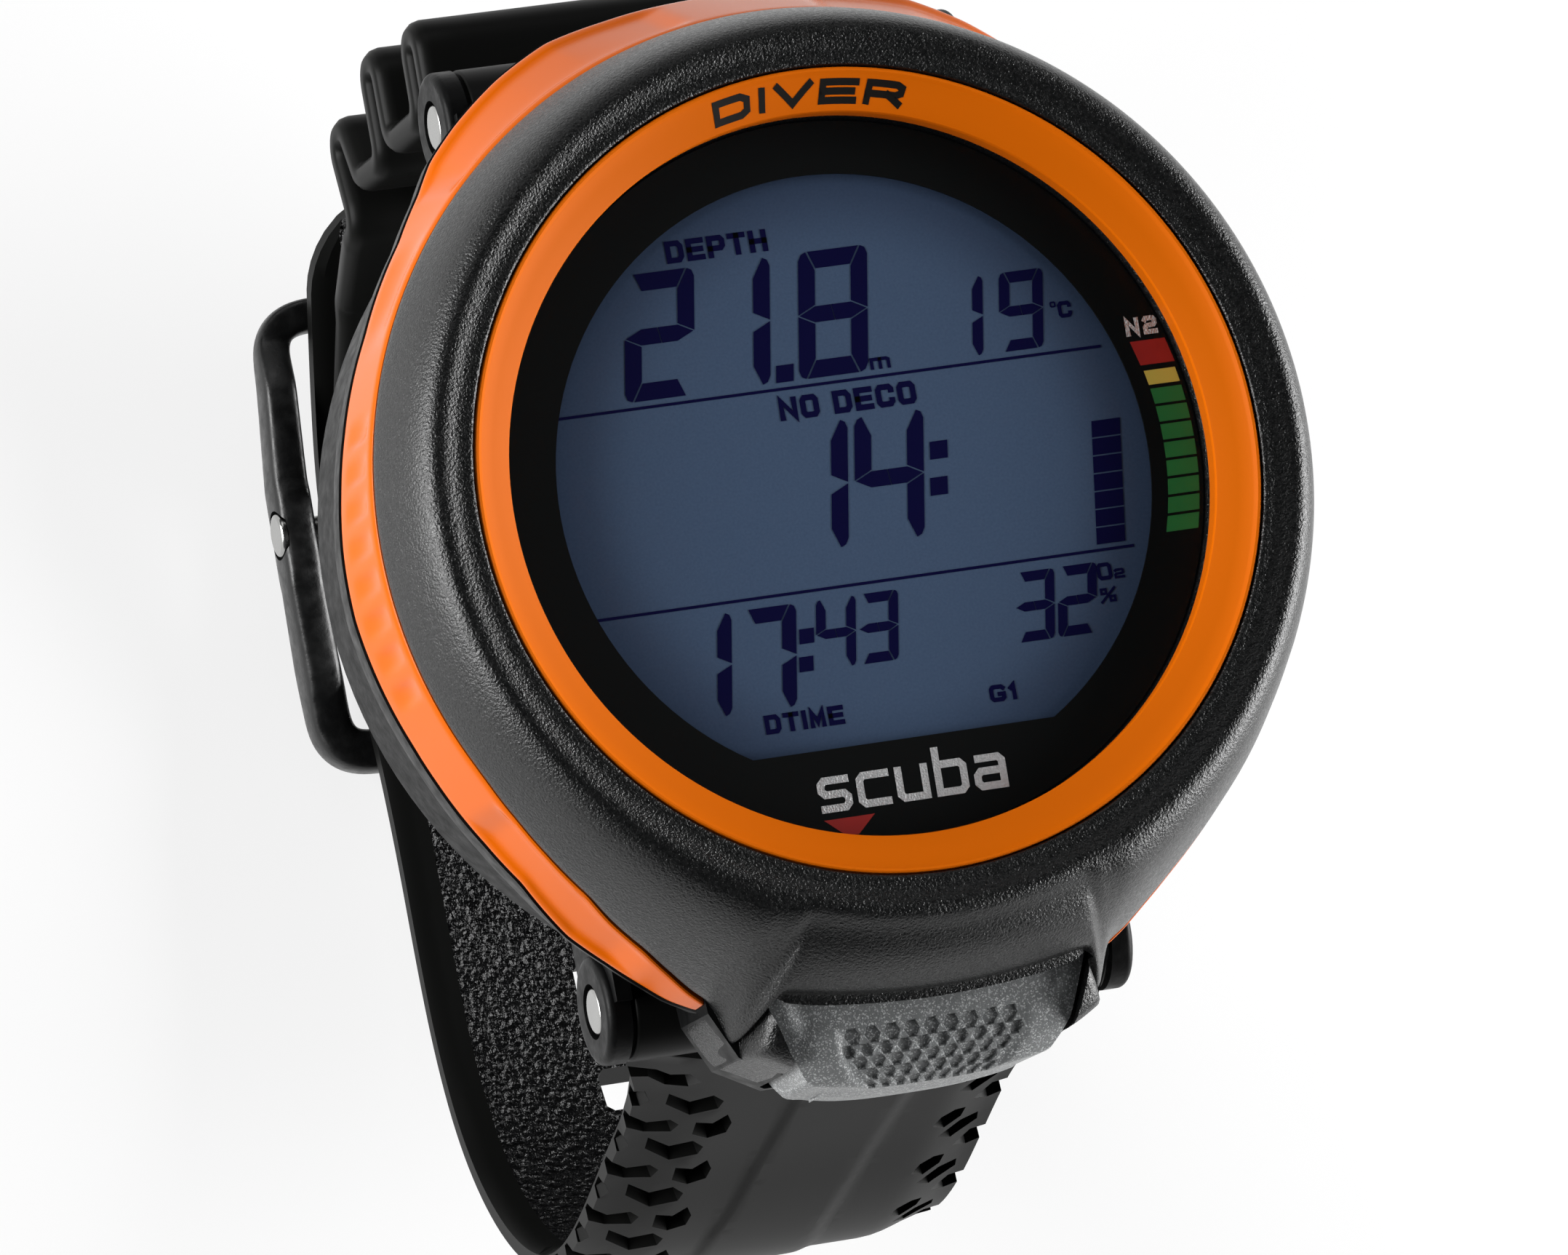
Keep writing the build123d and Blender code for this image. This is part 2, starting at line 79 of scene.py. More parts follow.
def table(pairs, x):
    """Linear interpolation in a list of (x, y) pairs."""
    xs, ys = zip(*pairs)
    return float(np.interp(x, xs, ys))


class Path:
    """A line in the YZ plane with its length, point and outward normal at any distance along it."""

    def __init__(self, points):
        self.p = np.array(points, float)
        step = np.hypot(*np.diff(self.p, axis=0).T)
        self.s = np.concatenate([[0], np.cumsum(step)])
        self.length = float(self.s[-1])

    def at(self, s):
        near = (s, max(0.0, s - 0.15), min(self.length, s + 0.15))
        (y, y0, y1), (z, z0, z1) = (map(float, np.interp(near, self.s, self.p[:, k])) for k in (0, 1))
        dy, dz = y1 - y0, z1 - z0
        size = math.hypot(dy, dz)
        return y, z, dz / size, -dy / size


def spline(points, count=60):
    """Dense points on the natural cubic spline through the given ones."""
    p = np.array(points, float)
    t = np.concatenate([[0], np.cumsum(np.hypot(*np.diff(p, axis=0).T))])
    n, h = len(p), np.diff(t)
    a, rhs = np.zeros((n, n)), np.zeros((n, 2))
    a[0, 0] = a[-1, -1] = 1
    for i in range(1, n - 1):
        a[i, i - 1:i + 2] = h[i - 1], 2 * (h[i - 1] + h[i]), h[i]
        rhs[i] = 6 * ((p[i + 1] - p[i]) / h[i] - (p[i] - p[i - 1]) / h[i - 1])
    m = np.linalg.solve(a, rhs)
    out = []
    for i in range(n - 1):
        for k in range(count):
            x = h[i] * k / count
            b = (p[i + 1] - p[i]) / h[i] - h[i] * (2 * m[i] + m[i + 1]) / 6
            out.append(p[i] + b * x + m[i] * x * x / 2 + (m[i + 1] - m[i]) * x ** 3 / (6 * h[i]))
    return out + [p[-1]]


def rounded_line(points, radius, step=0.25):
    """A polyline with an arc of that radius at each corner, as dense points."""
    pts = [Vector(p) for p in points]
    out = [pts[0]]
    for before, corner, after in zip(pts, pts[1:], pts[2:]):
        u, v = (before - corner).normalized(), (after - corner).normalized()
        half = u.angle(v) / 2
        reach = radius / math.tan(half)
        centre = corner + (u + v).normalized() * (radius / math.sin(half))
        start, end = corner + u * reach, corner + v * reach
        a, b = start - centre, end - centre
        turn = a.angle_signed(b)
        count = max(3, int(abs(turn) * radius / step))
        out += [centre + Matrix.Rotation(-turn * k / count, 2) @ a for k in range(count + 1)]
    return [tuple(p) for p in out + [pts[-1]]]


# ---------------------------------------------------------------- mesh helpers
def add_mesh(name, verts, faces, materials, sharp=32.0, face_slots=None, weld=0.0005):
    """A new object from millimetre points, smooth but for edges sharper than the given angle."""
    mesh = bpy.data.meshes.new(name)
    mesh.from_pydata([(x * MM, y * MM, z * MM) for x, y, z in verts], [], faces)
    for m in materials:
        mesh.materials.append(m)
    if face_slots:
        for poly, index in zip(mesh.polygons, face_slots):
            poly.material_index = index
    obj = bpy.data.objects.new(name, mesh)
    bpy.context.scene.collection.objects.link(obj)
    clean(obj, sharp, weld)
    return obj


def clean(obj, sharp=32.0, weld=0.0005):
    bm = bmesh.new()
    bm.from_mesh(obj.data)
    if weld:
        bmesh.ops.remove_doubles(bm, verts=bm.verts, dist=weld * MM)
    bmesh.ops.dissolve_degenerate(bm, edges=bm.edges, dist=1e-8)
    bmesh.ops.recalc_face_normals(bm, faces=bm.faces)
    limit = math.radians(sharp)
    for f in bm.faces:
        f.smooth = True
    for e in bm.edges:
        e.smooth = not (len(e.link_faces) != 2 or e.calc_face_angle(0.0) > limit)
    bm.to_mesh(obj.data)
    bm.free()


def bake_modifiers(obj):
    """Applies the object's modifiers to its mesh."""
    bpy.context.view_layer.update()
    graph = bpy.context.evaluated_depsgraph_get()
    mesh = bpy.data.meshes.new_from_object(obj.evaluated_get(graph))
    obj.modifiers.clear()
    obj.data = mesh


def subdivide(obj, levels):
    mod = obj.modifiers.new("subdivision", "SUBSURF")
    mod.levels = mod.render_levels = levels
    bake_modifiers(obj)


def boolean(obj, tool, operation, sharp=32.0):
    """Cuts, joins or keeps the tool's shape, and removes the tool."""
    mod = obj.modifiers.new("boolean", "BOOLEAN")
    mod.operation, mod.object, mod.solver = operation, tool, "EXACT"
    bake_modifiers(obj)
    old = tool.data
    bpy.data.objects.remove(tool)
    bpy.data.meshes.remove(old)
    clean(obj, sharp, weld=0.002)


def loft(name, sections, mat, ring=False, sharp=32.0):
    """Skin over closed sections with the same number of points. ring joins the last to the first."""
    n = len(sections[0])
    verts = [p for s in sections for p in s]
    faces = []
    for i in range(len(sections) if ring else len(sections) - 1):
        a, b = i * n, ((i + 1) % len(sections)) * n
        faces += [(a + k, a + (k + 1) % n, b + (k + 1) % n, b + k) for k in range(n)]
    if not ring:
        faces += [tuple(range(n)), tuple(range(len(verts) - n, len(verts)))]
    return add_mesh(name, verts, faces, [mat], sharp)


def rod(name, x0, x1, y, z, r, mat, rim=0.0, steps=64):
    """A round rod along X, with rounded rims of the given radius."""
    arc = [(0.0, 0.0)]
    if rim:
        arc = [(rim * (1 - math.sin(a)), rim * (1 - math.cos(a))) for a in (0, 0.4, 0.8, 1.2, math.pi / 2)]
    stations = [(x0 + dx, r - dr) for dx, dr in reversed(arc)] + [(x1 - dx, r - dr) for dx, dr in arc]
    turns = [2 * math.pi * k / steps for k in range(steps)]
    return loft(name, [[(x, y + radius * math.cos(a), z + radius * math.sin(a)) for a in turns]
                       for x, radius in stations], mat)


def place(obj, body, slot, *nodes):
    """Puts a finished piece on its body, in place of the CAD nodes that it replaces."""
    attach(obj, body)
    if nodes:
        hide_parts(*nodes)


# ---------------------------------------------------------------- materials
def node(tree, kind, **values):
    made = tree.nodes.new(kind)
    for key, value in values.items():
        if key in made.inputs:
            made.inputs[key].default_value = value
        else:
            setattr(made, key, value)
    return made


def texture(tree, kind, output="Fac", **values):
    """A procedural texture over the object's own coordinates."""
    made = node(tree, "ShaderNodeTex" + kind, **values)
    tree.links.new(tree.nodes["Texture Coordinate"].outputs["Object"], made.inputs["Vector"])
    return made.outputs[output]


def map_range(tree, value, limits, **values):
    """Maps a value from the first two limits to the last two."""
    made = node(tree, "ShaderNodeMapRange", **values)
    for key, limit in zip(("From Min", "From Max", "To Min", "To Max"), limits):
        made.inputs[key].default_value = limit
    tree.links.new(value, made.inputs["Value"])
    return made.outputs["Result"]


def color_mix(tree, factor, low, high):
    """A colour between low and high. Each is a colour or another node's output."""
    made = node(tree, "ShaderNodeMix", data_type="RGBA")
    tree.links.new(factor, made.inputs[0])
    for index, color in ((6, low), (7, high)):
        if isinstance(color, tuple):
            made.inputs[index].default_value = (*color, 1)
        else:
            tree.links.new(color, made.inputs[index])
    return made.outputs[2]


def material(name, color, rough, metal=0.0, specular=0.5, alpha=1.0, grain=(), tone=None, rough_tone=None):
    """A Principled material. grain is a list of (kind, scale, strength, distance) bumps; tone is
    (scale, amount) of colour variation; rough_tone is (scale, amount) of roughness variation."""
    mat = bpy.data.materials.new(name)
    mat.use_nodes = True
    tree = mat.node_tree
    shader = tree.nodes["Principled BSDF"]
    for key, value in (("Base Color", (*color, 1)), ("Roughness", rough), ("Metallic", metal),
                       ("Specular IOR Level", specular), ("Alpha", alpha)):
        shader.inputs[key].default_value = value
    tree.nodes.new("ShaderNodeTexCoord")
    link = tree.links.new
    if tone:
        scale, amount = tone
        low, high = (tuple(min(1, c * (1 + part)) for c in color) for part in (-amount, amount))
        cloud = texture(tree, "Noise", Scale=scale, Detail=4.0)
        link(color_mix(tree, cloud, low, high), shader.inputs["Base Color"])
    if rough_tone:
        scale, amount = rough_tone
        limits = (0.3, 0.7, max(0.02, rough - amount), min(1.0, rough + amount))
        cloud = texture(tree, "Noise", Scale=scale, Detail=3.0)
        link(map_range(tree, cloud, limits), shader.inputs["Roughness"])
    normal = None
    for kind, scale, strength, distance in grain:
        if kind == "noise":
            height = texture(tree, "Noise", Scale=scale, Detail=2.0, Roughness=0.6)
        else:
            height = texture(tree, "Voronoi", "Distance", Scale=scale,
                             feature="F1" if kind == "cells" else "SMOOTH_F1")
        bump = node(tree, "ShaderNodeBump", Strength=strength, Distance=distance * MM)
        link(height, bump.inputs["Height"])
        if normal is not None:
            link(normal, bump.inputs["Normal"])
        normal = bump.outputs["Normal"]
    if normal is not None:
        link(normal, shader.inputs["Normal"])
    return mat


case_black = material("case_black", (0.0024, 0.0025, 0.0026), 0.42, specular=0.11,
                      grain=[("noise", 2600, 0.5, 0.03)], tone=(400, 0.15), rough_tone=(900, 0.08))
bezel_black = material("bezel_black", (0.0026, 0.0028, 0.0029), 0.31, specular=0.46,
                       grain=[("noise", 5200, 1.0, 0.09)], tone=(3200, 0.5), rough_tone=(3600, 0.10))
buckle_black = material("buckle_black", (0.0035, 0.0036, 0.0037), 0.36, specular=0.4,
                        grain=[("noise", 3400, 0.5, 0.03)], tone=(500, 0.2), rough_tone=(900, 0.1))
strap_black = material("strap_black", (0.0030, 0.0031, 0.0029), 0.42, specular=0.08,
                       grain=[("noise", 7000, 0.12, 0.02)], tone=(60, 0.06), rough_tone=(40, 0.02))
strap_rough = material("strap_rough", (0.0022, 0.0022, 0.0024), 0.22, specular=0.2,
                       grain=[("blobs", 2100, 1.0, 0.5), ("noise", 4200, 0.9, 0.2)],
                       tone=(900, 0.25), rough_tone=(1600, 0.08))
ring_orange = material("ring_orange", (0.63, 0.124, 0.0010), 0.5, specular=0.05,
                       grain=[("noise", 5000, 0.03, 0.01)], tone=(30, 0.015), rough_tone=(60, 0.02))
trim_orange = material("trim_orange", (0.50, 0.088, 0.001), 0.20, specular=0.09,
                       grain=[("noise", 3000, 0.03, 0.01)], tone=(40, 0.02), rough_tone=(60, 0.02))
print_black = material("print_black", (0.006, 0.005, 0.004), 0.5, specular=0.15,
                       grain=[("noise", 3000, 0.1, 0.01)], tone=(600, 0.15))
mask_black = material("mask_black", (0.0018, 0.0022, 0.0018), 0.5, specular=0.10,
                      grain=[("noise", 2500, 0.05, 0.01)], tone=(300, 0.1))
segment_navy = material("segment_navy", (0.0010, 0.0006, 0.0345), 0.7, specular=0.04,
                        grain=[("noise", 2500, 0.05, 0.01)], tone=(500, 0.08))
steel = material("steel", (0.42, 0.42, 0.41), 0.24, metal=1.0, grain=[("noise", 1500, 0.08, 0.02)],
                 rough_tone=(900, 0.07), tone=(500, 0.05))
silver_print = material("silver_print", (0.62, 0.63, 0.64), 0.38, metal=0.35,
                        grain=[("cells", 7000, 0.8, 0.06)], tone=(5200, 0.25))
scale_red = material("scale_red", (0.34, 0.012, 0.008), 0.5, tone=(260, 0.2))
scale_yellow = material("scale_yellow", (0.62, 0.50, 0.08), 0.5, tone=(260, 0.1))
scale_green = material("scale_green", (0.012, 0.17, 0.035), 0.5, tone=(260, 0.25))


def lcd_material():
    """Blue-grey reflective display: fine sparkle, with painted shade that darkens it towards the edge of its
    window.
    """
    mat = material("lcd_blue", (0.048, 0.078, 0.125), 0.7, specular=0.06, grain=[("noise", 5200, 0.12, 0.02)])
    tree = mat.node_tree
    flat = node(tree, "ShaderNodeVectorMath", operation="MULTIPLY")
    flat.inputs[1].default_value = (1, 1, 0)
    far = node(tree, "ShaderNodeVectorMath", operation="LENGTH")
    link = tree.links.new
    link(tree.nodes["Texture Coordinate"].outputs["Object"], flat.inputs[0])
    link(flat.outputs[0], far.inputs[0])
    # painted shade: the display's colour darkens towards the rim of its window, as if shaded by the mask and
    # ring above it
    painted_edge_shade = map_range(tree, far.outputs["Value"], (15 * MM, 21.6 * MM, 0.0, 0.5),
                     interpolation_type="SMOOTHSTEP")
    sparkle = texture(tree, "Noise", Scale=5600.0, Detail=1.0)
    base = color_mix(tree, sparkle, (0.052, 0.086, 0.156), (0.074, 0.118, 0.200))
    # mixes the dark painted-shade colour into the display near its window's edge
    edge = color_mix(tree, painted_edge_shade, base, (0.012, 0.018, 0.046))
    link(edge, tree.nodes["Principled BSDF"].inputs["Base Color"])
    return mat


def button_material():
    """Smoky plastic with metallic flakes."""
    mat = material("button_smoke", (0.13, 0.135, 0.135), 0.40, specular=0.45,
                   grain=[("cells", 9000, 0.5, 0.03)])
    tree = mat.node_tree
    cloud = texture(tree, "Noise", Scale=420.0, Detail=5.0)
    base = color_mix(tree, cloud, (0.105, 0.11, 0.112), (0.17, 0.176, 0.176))
    split = node(tree, "ShaderNodeSeparateColor")
    tree.links.new(texture(tree, "Voronoi", "Color", Scale=10500.0), split.inputs[0])
    flakes = map_range(tree, split.outputs[0], (0.70, 0.97, 0.0, 1.0))
    tint = color_mix(tree, flakes, base, (0.42, 0.43, 0.43))
    tree.links.new(tint, tree.nodes["Principled BSDF"].inputs["Base Color"])
    return mat


lcd_blue = lcd_material()
button_smoke = button_material()
glass = material("window_glass", (0.01, 0.012, 0.015), 0.03, alpha=0.06)

# Pieces that stay as the CAD has them: slot, colour, roughness, metal, grain, tone and rough tone.
INSIDE = (
    ("seal_rubber", (0.012, 0.012, 0.012), 0.6, 0, ("noise", 2500, 0.2, 0.03), (300, 0.2), None),
    ("light_guide", (0.72, 0.76, 0.75), 0.15, 0, ("cells", 1300, 0.15, 0.03), (300, 0.05), None),
    ("inner_plastic", (0.03, 0.03, 0.032), 0.5, 0, ("noise", 1800, 0.2, 0.04), (200, 0.15), None),
    ("elastomer", (0.42, 0.30, 0.30), 0.6, 0, ("noise", 1500, 0.2, 0.04), (900, 0.4), None),
    ("board_green", (0.008, 0.11, 0.05), 0.35, 0, ("noise", 700, 0.2, 0.03), (260, 0.25), None),
    ("chip_black", (0.012, 0.012, 0.013), 0.5, 0, ("noise", 2200, 0.3, 0.03), (400, 0.2), None),
    ("spring_steel", (0.50, 0.50, 0.51), 0.3, 1, ("noise", 1900, 0.2, 0.02), (500, 0.1), (700, 0.1)),
    ("cell_steel", (0.60, 0.60, 0.61), 0.32, 1, ("noise", 1500, 0.15, 0.02), (300, 0.08), (500, 0.1)),
    ("brass", (0.62, 0.42, 0.13), 0.3, 1, ("noise", 1500, 0.15, 0.02), (300, 0.15), (500, 0.1)))
by_slot = {"case_plastic": case_black, "mask_black": mask_black, "lcd": lcd_blue, "window_glass": glass,
           "steel": steel}
for slot, color, rough, metal, grain, tone, rough_tone in INSIDE:
    by_slot[slot] = material(slot, color, rough, metal, grain=[grain], tone=tone, rough_tone=rough_tone)
for part in frame["record"]["subparts"]:
    finish = by_slot.get(part["material_slot"])
    if finish:
        mesh = frame["nodes"][part["node"]].data
        mesh.materials.clear()
        mesh.materials.append(finish)


# ---------------------------------------------------------------- bezel
# Outline of the case's nose, as (|x|, -y) from its root to 6 o'clock.
NOSE = [(15.2, 24.0), (14.6, 33.9), (13.0, 37.2), (9.8, 39.0), (0.0, 39.4)]
# Top edge of the side trim, which the bezel's lower edge follows: angle, radius and height.
TOP = [(90, 33.45), (210, 33.45), (216, 33.6), (221, 33.85), (228, 34.2), (232, 34.6), (237, 35.05),
       (241, 35.6), (244, 36.1), (247, 36.45)]
TOP_Z = [(90, 21.55), (208, 21.55), (216, 21.1), (221, 20.8), (228, 20.0), (232, 18.9), (237, 18.0),
         (241, 16.8), (244, 15.9), (247, 15.1)]


def ray_radius(phi, line):
    """Distance from the axis to a line of (|x|, -y) points, at an angle phi from 6 o'clock."""
    d = (math.sin(abs(phi)), math.cos(phi))
    best = None
    for (ax, ay), (bx, by) in zip(line, line[1:]):
        den = d[0] * (by - ay) - d[1] * (bx - ax)
        if abs(den) < 1e-9:
            continue
        u = (d[1] * ax - d[0] * ay) / den
        if -1e-6 <= u <= 1 + 1e-6:
            r = d[0] * (ax + u * (bx - ax)) + d[1] * (ay + u * (by - ay))
            best = r if best is None else max(best, r)
    return best


def bezel_section(phi):
    """The closed profile of the bezel at an angle from 6 o'clock, with the hood blended in."""
    turn = math.degrees(abs(phi))
    nose = (ray_radius(phi, NOSE) or 33) + 0.04
    toward = max(0.3, math.cos(phi))
    lip = 33.9 / toward
    for _ in range(3):
        lip = (34.9 - 0.0095 * (lip * math.sin(phi)) ** 2) / toward
    lip = min(lip, nose - 0.3)
    edge_r, edge_z = table(TOP, 270 - turn), table(TOP_Z, 270 - turn)
    wide, tall = (edge_r - 30.3) / 3.15, (28.5 - edge_z) / 6.95
    swell = 0.5 * smooth(0.0, 1.0, math.cos(phi * 3.0)) if abs(phi) < 0.5 else 0
    slope = [(30.9, 28.38), (31.5, 27.75), (32.1, 26.6), (32.7, 24.8), (33.2, 22.9), (33.40, 21.85),
             (33.28, 21.6)]
    plain = [(30.3 + (r - 30.3) * wide, 28.5 - (28.5 - z) * tall) for r, z in slope]
    plain += [(r, min(z, edge_z - dz)) for r, z, dz in (
        (32.75, 21.5, 0.1), (32.6, 21.2, 0.4), (32.6, 19.5, 0.6), (32.6, 17.0, 0.8), (32.6, 15.9, 1.0),
        (32.45, 15.52, 1.2))]
    hood = [(30.85, 28.3), (31.35, 27.6), (31.9, 26.7 + swell * 0.3), (mix(31.9, lip, 0.35), 25.55 + swell),
            (mix(31.9, lip, 0.72), 23.9 + swell), (lip - 0.12, 22.75), (lip, 22.3), (lip + 0.02, 21.2),
            (lip, 20.55), (mix(lip, nose, 0.6), 20.0), (nose - 0.12, 19.0), (nose, 18.0), (nose, 9.2)]
    cheek = [(31.35, 28.15), (32.3, 26.9), (33.5, 24.9), (34.8, 22.3), (mix(34.8, nose, 0.5), 19.2),
             (mix(34.8, nose, 0.85), 16.7), (nose - 0.05, 15.3), (nose, 14.6), (nose, 13.5), (nose, 12.4),
             (nose, 11.3), (nose, 10.2), (nose, 9.2)]
    to_cheek = smooth(18.0, 20.5, turn)
    top, low = smooth(20.5, 24.5, turn), smooth(23.5, 24.4, turn)
    outer = []
    for k, (a, b, c) in enumerate(zip(hood, cheek, plain)):
        side = (mix(a[0], b[0], to_cheek), mix(a[1], b[1], to_cheek))
        w = top if k < 7 else low
        outer.append((mix(side[0], c[0], w), mix(side[1], c[1], w)))
    inner = [(30.0, 15.5), (26.7, 15.5), (26.6, 15.7), (26.6, 22.2), (26.4, 22.4), (24.0, 22.4),
             (23.8, 22.6), (23.8, 23.2), (24.9, 23.3), (25.06, 23.5), (25.06, 24.6), (25.2, 24.8),
             (27.7, 24.8), (27.93, 25.0), (27.93, 27.75), (27.99, 28.02), (28.15, 28.13), (28.6, 28.08),
             (29.15, 28.12), (29.75, 28.36), (30.3, 28.5)]
    foot = min(15.5, edge_z - 1.3)
    under = [(mix(nose - 0.1, 32.3, low), mix(9.0, foot, low)), (mix(31.9, 31.5, low), mix(9.0, foot, low)),
             (mix(31.8, 31.0, low), min(15.5, foot + 0.2))]
    return inner + outer + under


def make_bezel():
    turns = [1.5 * k for k in range(12)] + [18 + 0.5 * k for k in range(24)]
    turns += [30 + 1.5 * k for k in range(100)]
    sections = []
    for phi in map(math.radians, [-d for d in reversed(turns[1:])] + turns + [180.0]):
        s, c = math.sin(phi), -math.cos(phi)
        sections.append([(r * s, r * c, z) for r, z in bezel_section(phi)])
    obj = loft("bezel_shell", sections, bezel_black, ring=True)
    subdivide(obj, 1)
    side = [(12.05, -29.9), (12.05, -33.6), (9.85, -39.55), (6.0, -41.35)]
    outline = side + [(-x, y) for x, y in reversed(side)]
    pocket = loft("pocket_tool", [[(x, y, z) for x, y in outline] for z in (9.6, 20.5)], bezel_black)
    boolean(obj, pocket, "DIFFERENCE", 40)
    place(obj, "case", "bezel_plastic", "bezel")


make_bezel()


# ---------------------------------------------------------------- display ring and its lettering
RING = [(25.08, 24.95), (25.06, 26.35), (25.10, 26.48), (25.2, 26.55), (26.4, 27.2), (27.3, 27.68),
        (27.42, 27.80), (27.58, 27.97), (27.72, 27.99), (27.83, 27.9), (27.87, 27.7), (27.87, 24.95)]
ring_turns = [2 * math.pi * k / 256 for k in range(256)]
ring_sections = [[(r * math.cos(a), r * math.sin(a), z) for r, z in RING] for a in ring_turns]
ring = loft("display_ring_lit", ring_sections, ring_orange, ring=True, sharp=25)
place(ring, "case", "ring_orange", "display_ring")

# Strokes of each letter in a unit box.
GLYPHS = {
    "D": [[(0, 0), (.8, 0), (1, .2), (1, .8), (.8, 1), (0, 1), "close"]],
    "E": [[(1, 0), (0, 0), (0, 1), (1, 1)], [(0, .5), (.92, .5)]],
    "P": [[(0, 0), (0, 1), (.84, 1), (1, .86), (1, .54), (.84, .4), (0, .4)]],
    "T": [[(.5, 0), (.5, 1)], [(0, 1), (1, 1)]],
    "H": [[(0, 0), (0, 1)], [(1, 0), (1, 1)], [(0, .5), (1, .5)]],
    "N": [[(0, 0), (0, 1), (1, 0), (1, 1)]],
    "O": [[(.16, 0), (.84, 0), (1, .16), (1, .84), (.84, 1), (.16, 1), (0, .84), (0, .16), "close"]],
    "C": [[(1, .2), (1, .15), (.84, 0), (.16, 0), (0, .16), (0, .84), (.16, 1), (.84, 1), (1, .85), (1, .8)]],
    "G": [[(.66, .42), (1, .42), (1, .14), (.84, 0), (.16, 0), (0, .16), (0, .84), (.16, 1), (.84, 1),
           (.98, .88)]],
    "I": [[(.5, 0), (.5, 1)]],
    "M": [[(0, 0), (0, 1), (.5, .2), (1, 1), (1, 0)]],
    "V": [[(0, 1), (.5, 0), (1, 1)]],
    "R": [[(0, 0), (0, 1), (.84, 1), (1, .86), (1, .56), (.84, .42), (0, .42)], [(.62, .42), (1, 0)]],
    "1": [[(.1, .78), (.6, 1), (.6, 0)]],
    "2": [[(.04, .9), (.14, 1), (.86, 1), (1, .86), (1, .62), (.86, .5), (.14, .46), (0, .34), (0, 0),
           (1, 0)]],
    "m": [[(0, 0), (0, 1), (.88, 1), (1, .86), (1, 0)], [(.5, 0), (.5, 1)]],
    "s": [[(.96, 1), (.14, 1), (0, .86), (0, .64), (.14, .5), (.86, .5), (1, .36), (1, .14), (.86, 0),
           (.04, 0)]],
    "c": [[(1, 1), (.14, 1), (0, .86), (0, .14), (.14, 0), (1, 0)]],
    "u": [[(0, 1), (0, .14), (.14, 0), (1, 0), (1, 1)]],
    "b": [[(0, 1.5), (0, 0), (.86, 0), (1, .14), (1, .86), (.86, 1), (.28, 1)]],
    "a": [[(.1, 1), (.86, 1), (1, .86), (1, 0), (.14, 0), (0, .14), (0, .4), (.14, .54), (.72, .54)]],
    "%": [[(0, 0), (1, 1)], [(.05, .62), (.38, .62), (.38, .95), (.05, .95), "close"],
          [(.62, .05), (.95, .05), (.95, .38), (.62, .38), "close"]],
}
NARROW = {"I": 0.28, "1": 0.62, " ": 0.45}


def stroke(p, closed, half):
    """A line of the given half width with mitred corners, as quads."""
    if not closed:
        p[0] = p[0] + (p[0] - p[1]).normalized() * half * 0.98
        p[-1] = p[-1] + (p[-1] - p[-2]).normalized() * half * 0.98
    sides = []
    for i, q in enumerate(p):
        before = p[i - 1] if closed or i else None
        after = p[(i + 1) % len(p)] if closed or i < len(p) - 1 else None
        d0 = (q - before).normalized() if before is not None else (after - q).normalized()
        d1 = (after - q).normalized() if after is not None else d0
        n0, n1 = Vector((-d0.y, d0.x)), Vector((-d1.y, d1.x))
        bisect = (n0 + n1).normalized() if (n0 + n1).length > 1e-6 else n0
        reach = min(half / max(0.3, bisect.dot(n0)), half * 2.2)
        sides.append((q + bisect * reach, q - bisect * reach))
    quads = []
    for i in range(len(p) if closed else len(p) - 1):
        (a, b), (c, d) = sides[i], sides[(i + 1) % len(p)]
        quads.append([tuple(a), tuple(b), tuple(d), tuple(c)])
    return quads


def lettering(text, x0, x1, y0, height, thick, gap=0.45, slant=0.0):
    """Quads of a line of text fitted between x0 and x1."""
    weights = [NARROW.get(ch, 1.0) for ch in text]
    cell = (x1 - x0 - gap * (len(text) - 1)) / sum(weights)
    out, x = [], x0
    for ch, weight in zip(text, weights):
        wide = cell * weight
        for line in GLYPHS.get(ch, []):
            closed = line[-1] == "close"
            pts = []
            for u, v in line[:-1] if closed else line:
                py = thick / 2 + v * (height - thick)
                pts.append(Vector((x + thick / 2 + u * (wide - thick) + slant * py, y0 + py)))
            out += stroke(pts, closed, thick / 2)
        x += wide + gap
    return out


def flat_piece(name, quads, mat, slot, place_at):
    """Thin raised print from outlines of (x, y). place_at(x, y, top) gives a point; top is 0 or 1."""
    verts, faces = [], []
    for q in quads:
        n, first = len(q), len(verts)
        verts += [place_at(x, y, top) for top in (0, 1) for x, y in q]
        faces += [tuple(range(first + n - 1, first - 1, -1)), tuple(range(first + n, first + 2 * n))]
        faces += [(first + k, first + (k + 1) % n, first + n + (k + 1) % n, first + n + k) for k in range(n)]
    place(add_mesh(name, verts, faces, [mat], sharp=20, weld=0), "case", slot)


def on_ring(x, y, top):
    """Wraps print round the sloping ring: x runs clockwise along it, y is the radius."""
    a = math.pi / 2 - x / 26.4
    z = 26.55 + (y - 25.2) * (27.68 - 26.55) / (27.3 - 25.2)
    return y * math.cos(a), y * math.sin(a), z + 0.024 * top


# The strokes are split into short pieces, so that they follow the ring's curve.
split_word = []
for quad in lettering("DIVER", -6.5, 7.4, 25.5, 1.62, 0.46, gap=0.5, slant=0.1):
    a, b, c, d = map(Vector, quad)
    n = max(1, int((d - a).length / 0.5))
    for u, v in ((k / n, (k + 1) / n) for k in range(n)):
        split_word.append([tuple(p) for p in (mix(a, d, u), mix(b, c, u), mix(b, c, v), mix(a, d, v))])
flat_piece("ring_lettering", split_word, print_black, "ring_orange", on_ring)


# ---------------------------------------------------------------- display contents
LCD_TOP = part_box("lcd_panel")[1][2] / MM + 0.01
MASK_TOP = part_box("display_mask")[1][2] / MM + 0.004
SLANT = 0.178
SEGMENTS = {"1": "bc", "2": "abged", "3": "abgcd", "4": "fgbc", "7": "abc", "8": "abcdefg", "9": "abcdfg"}


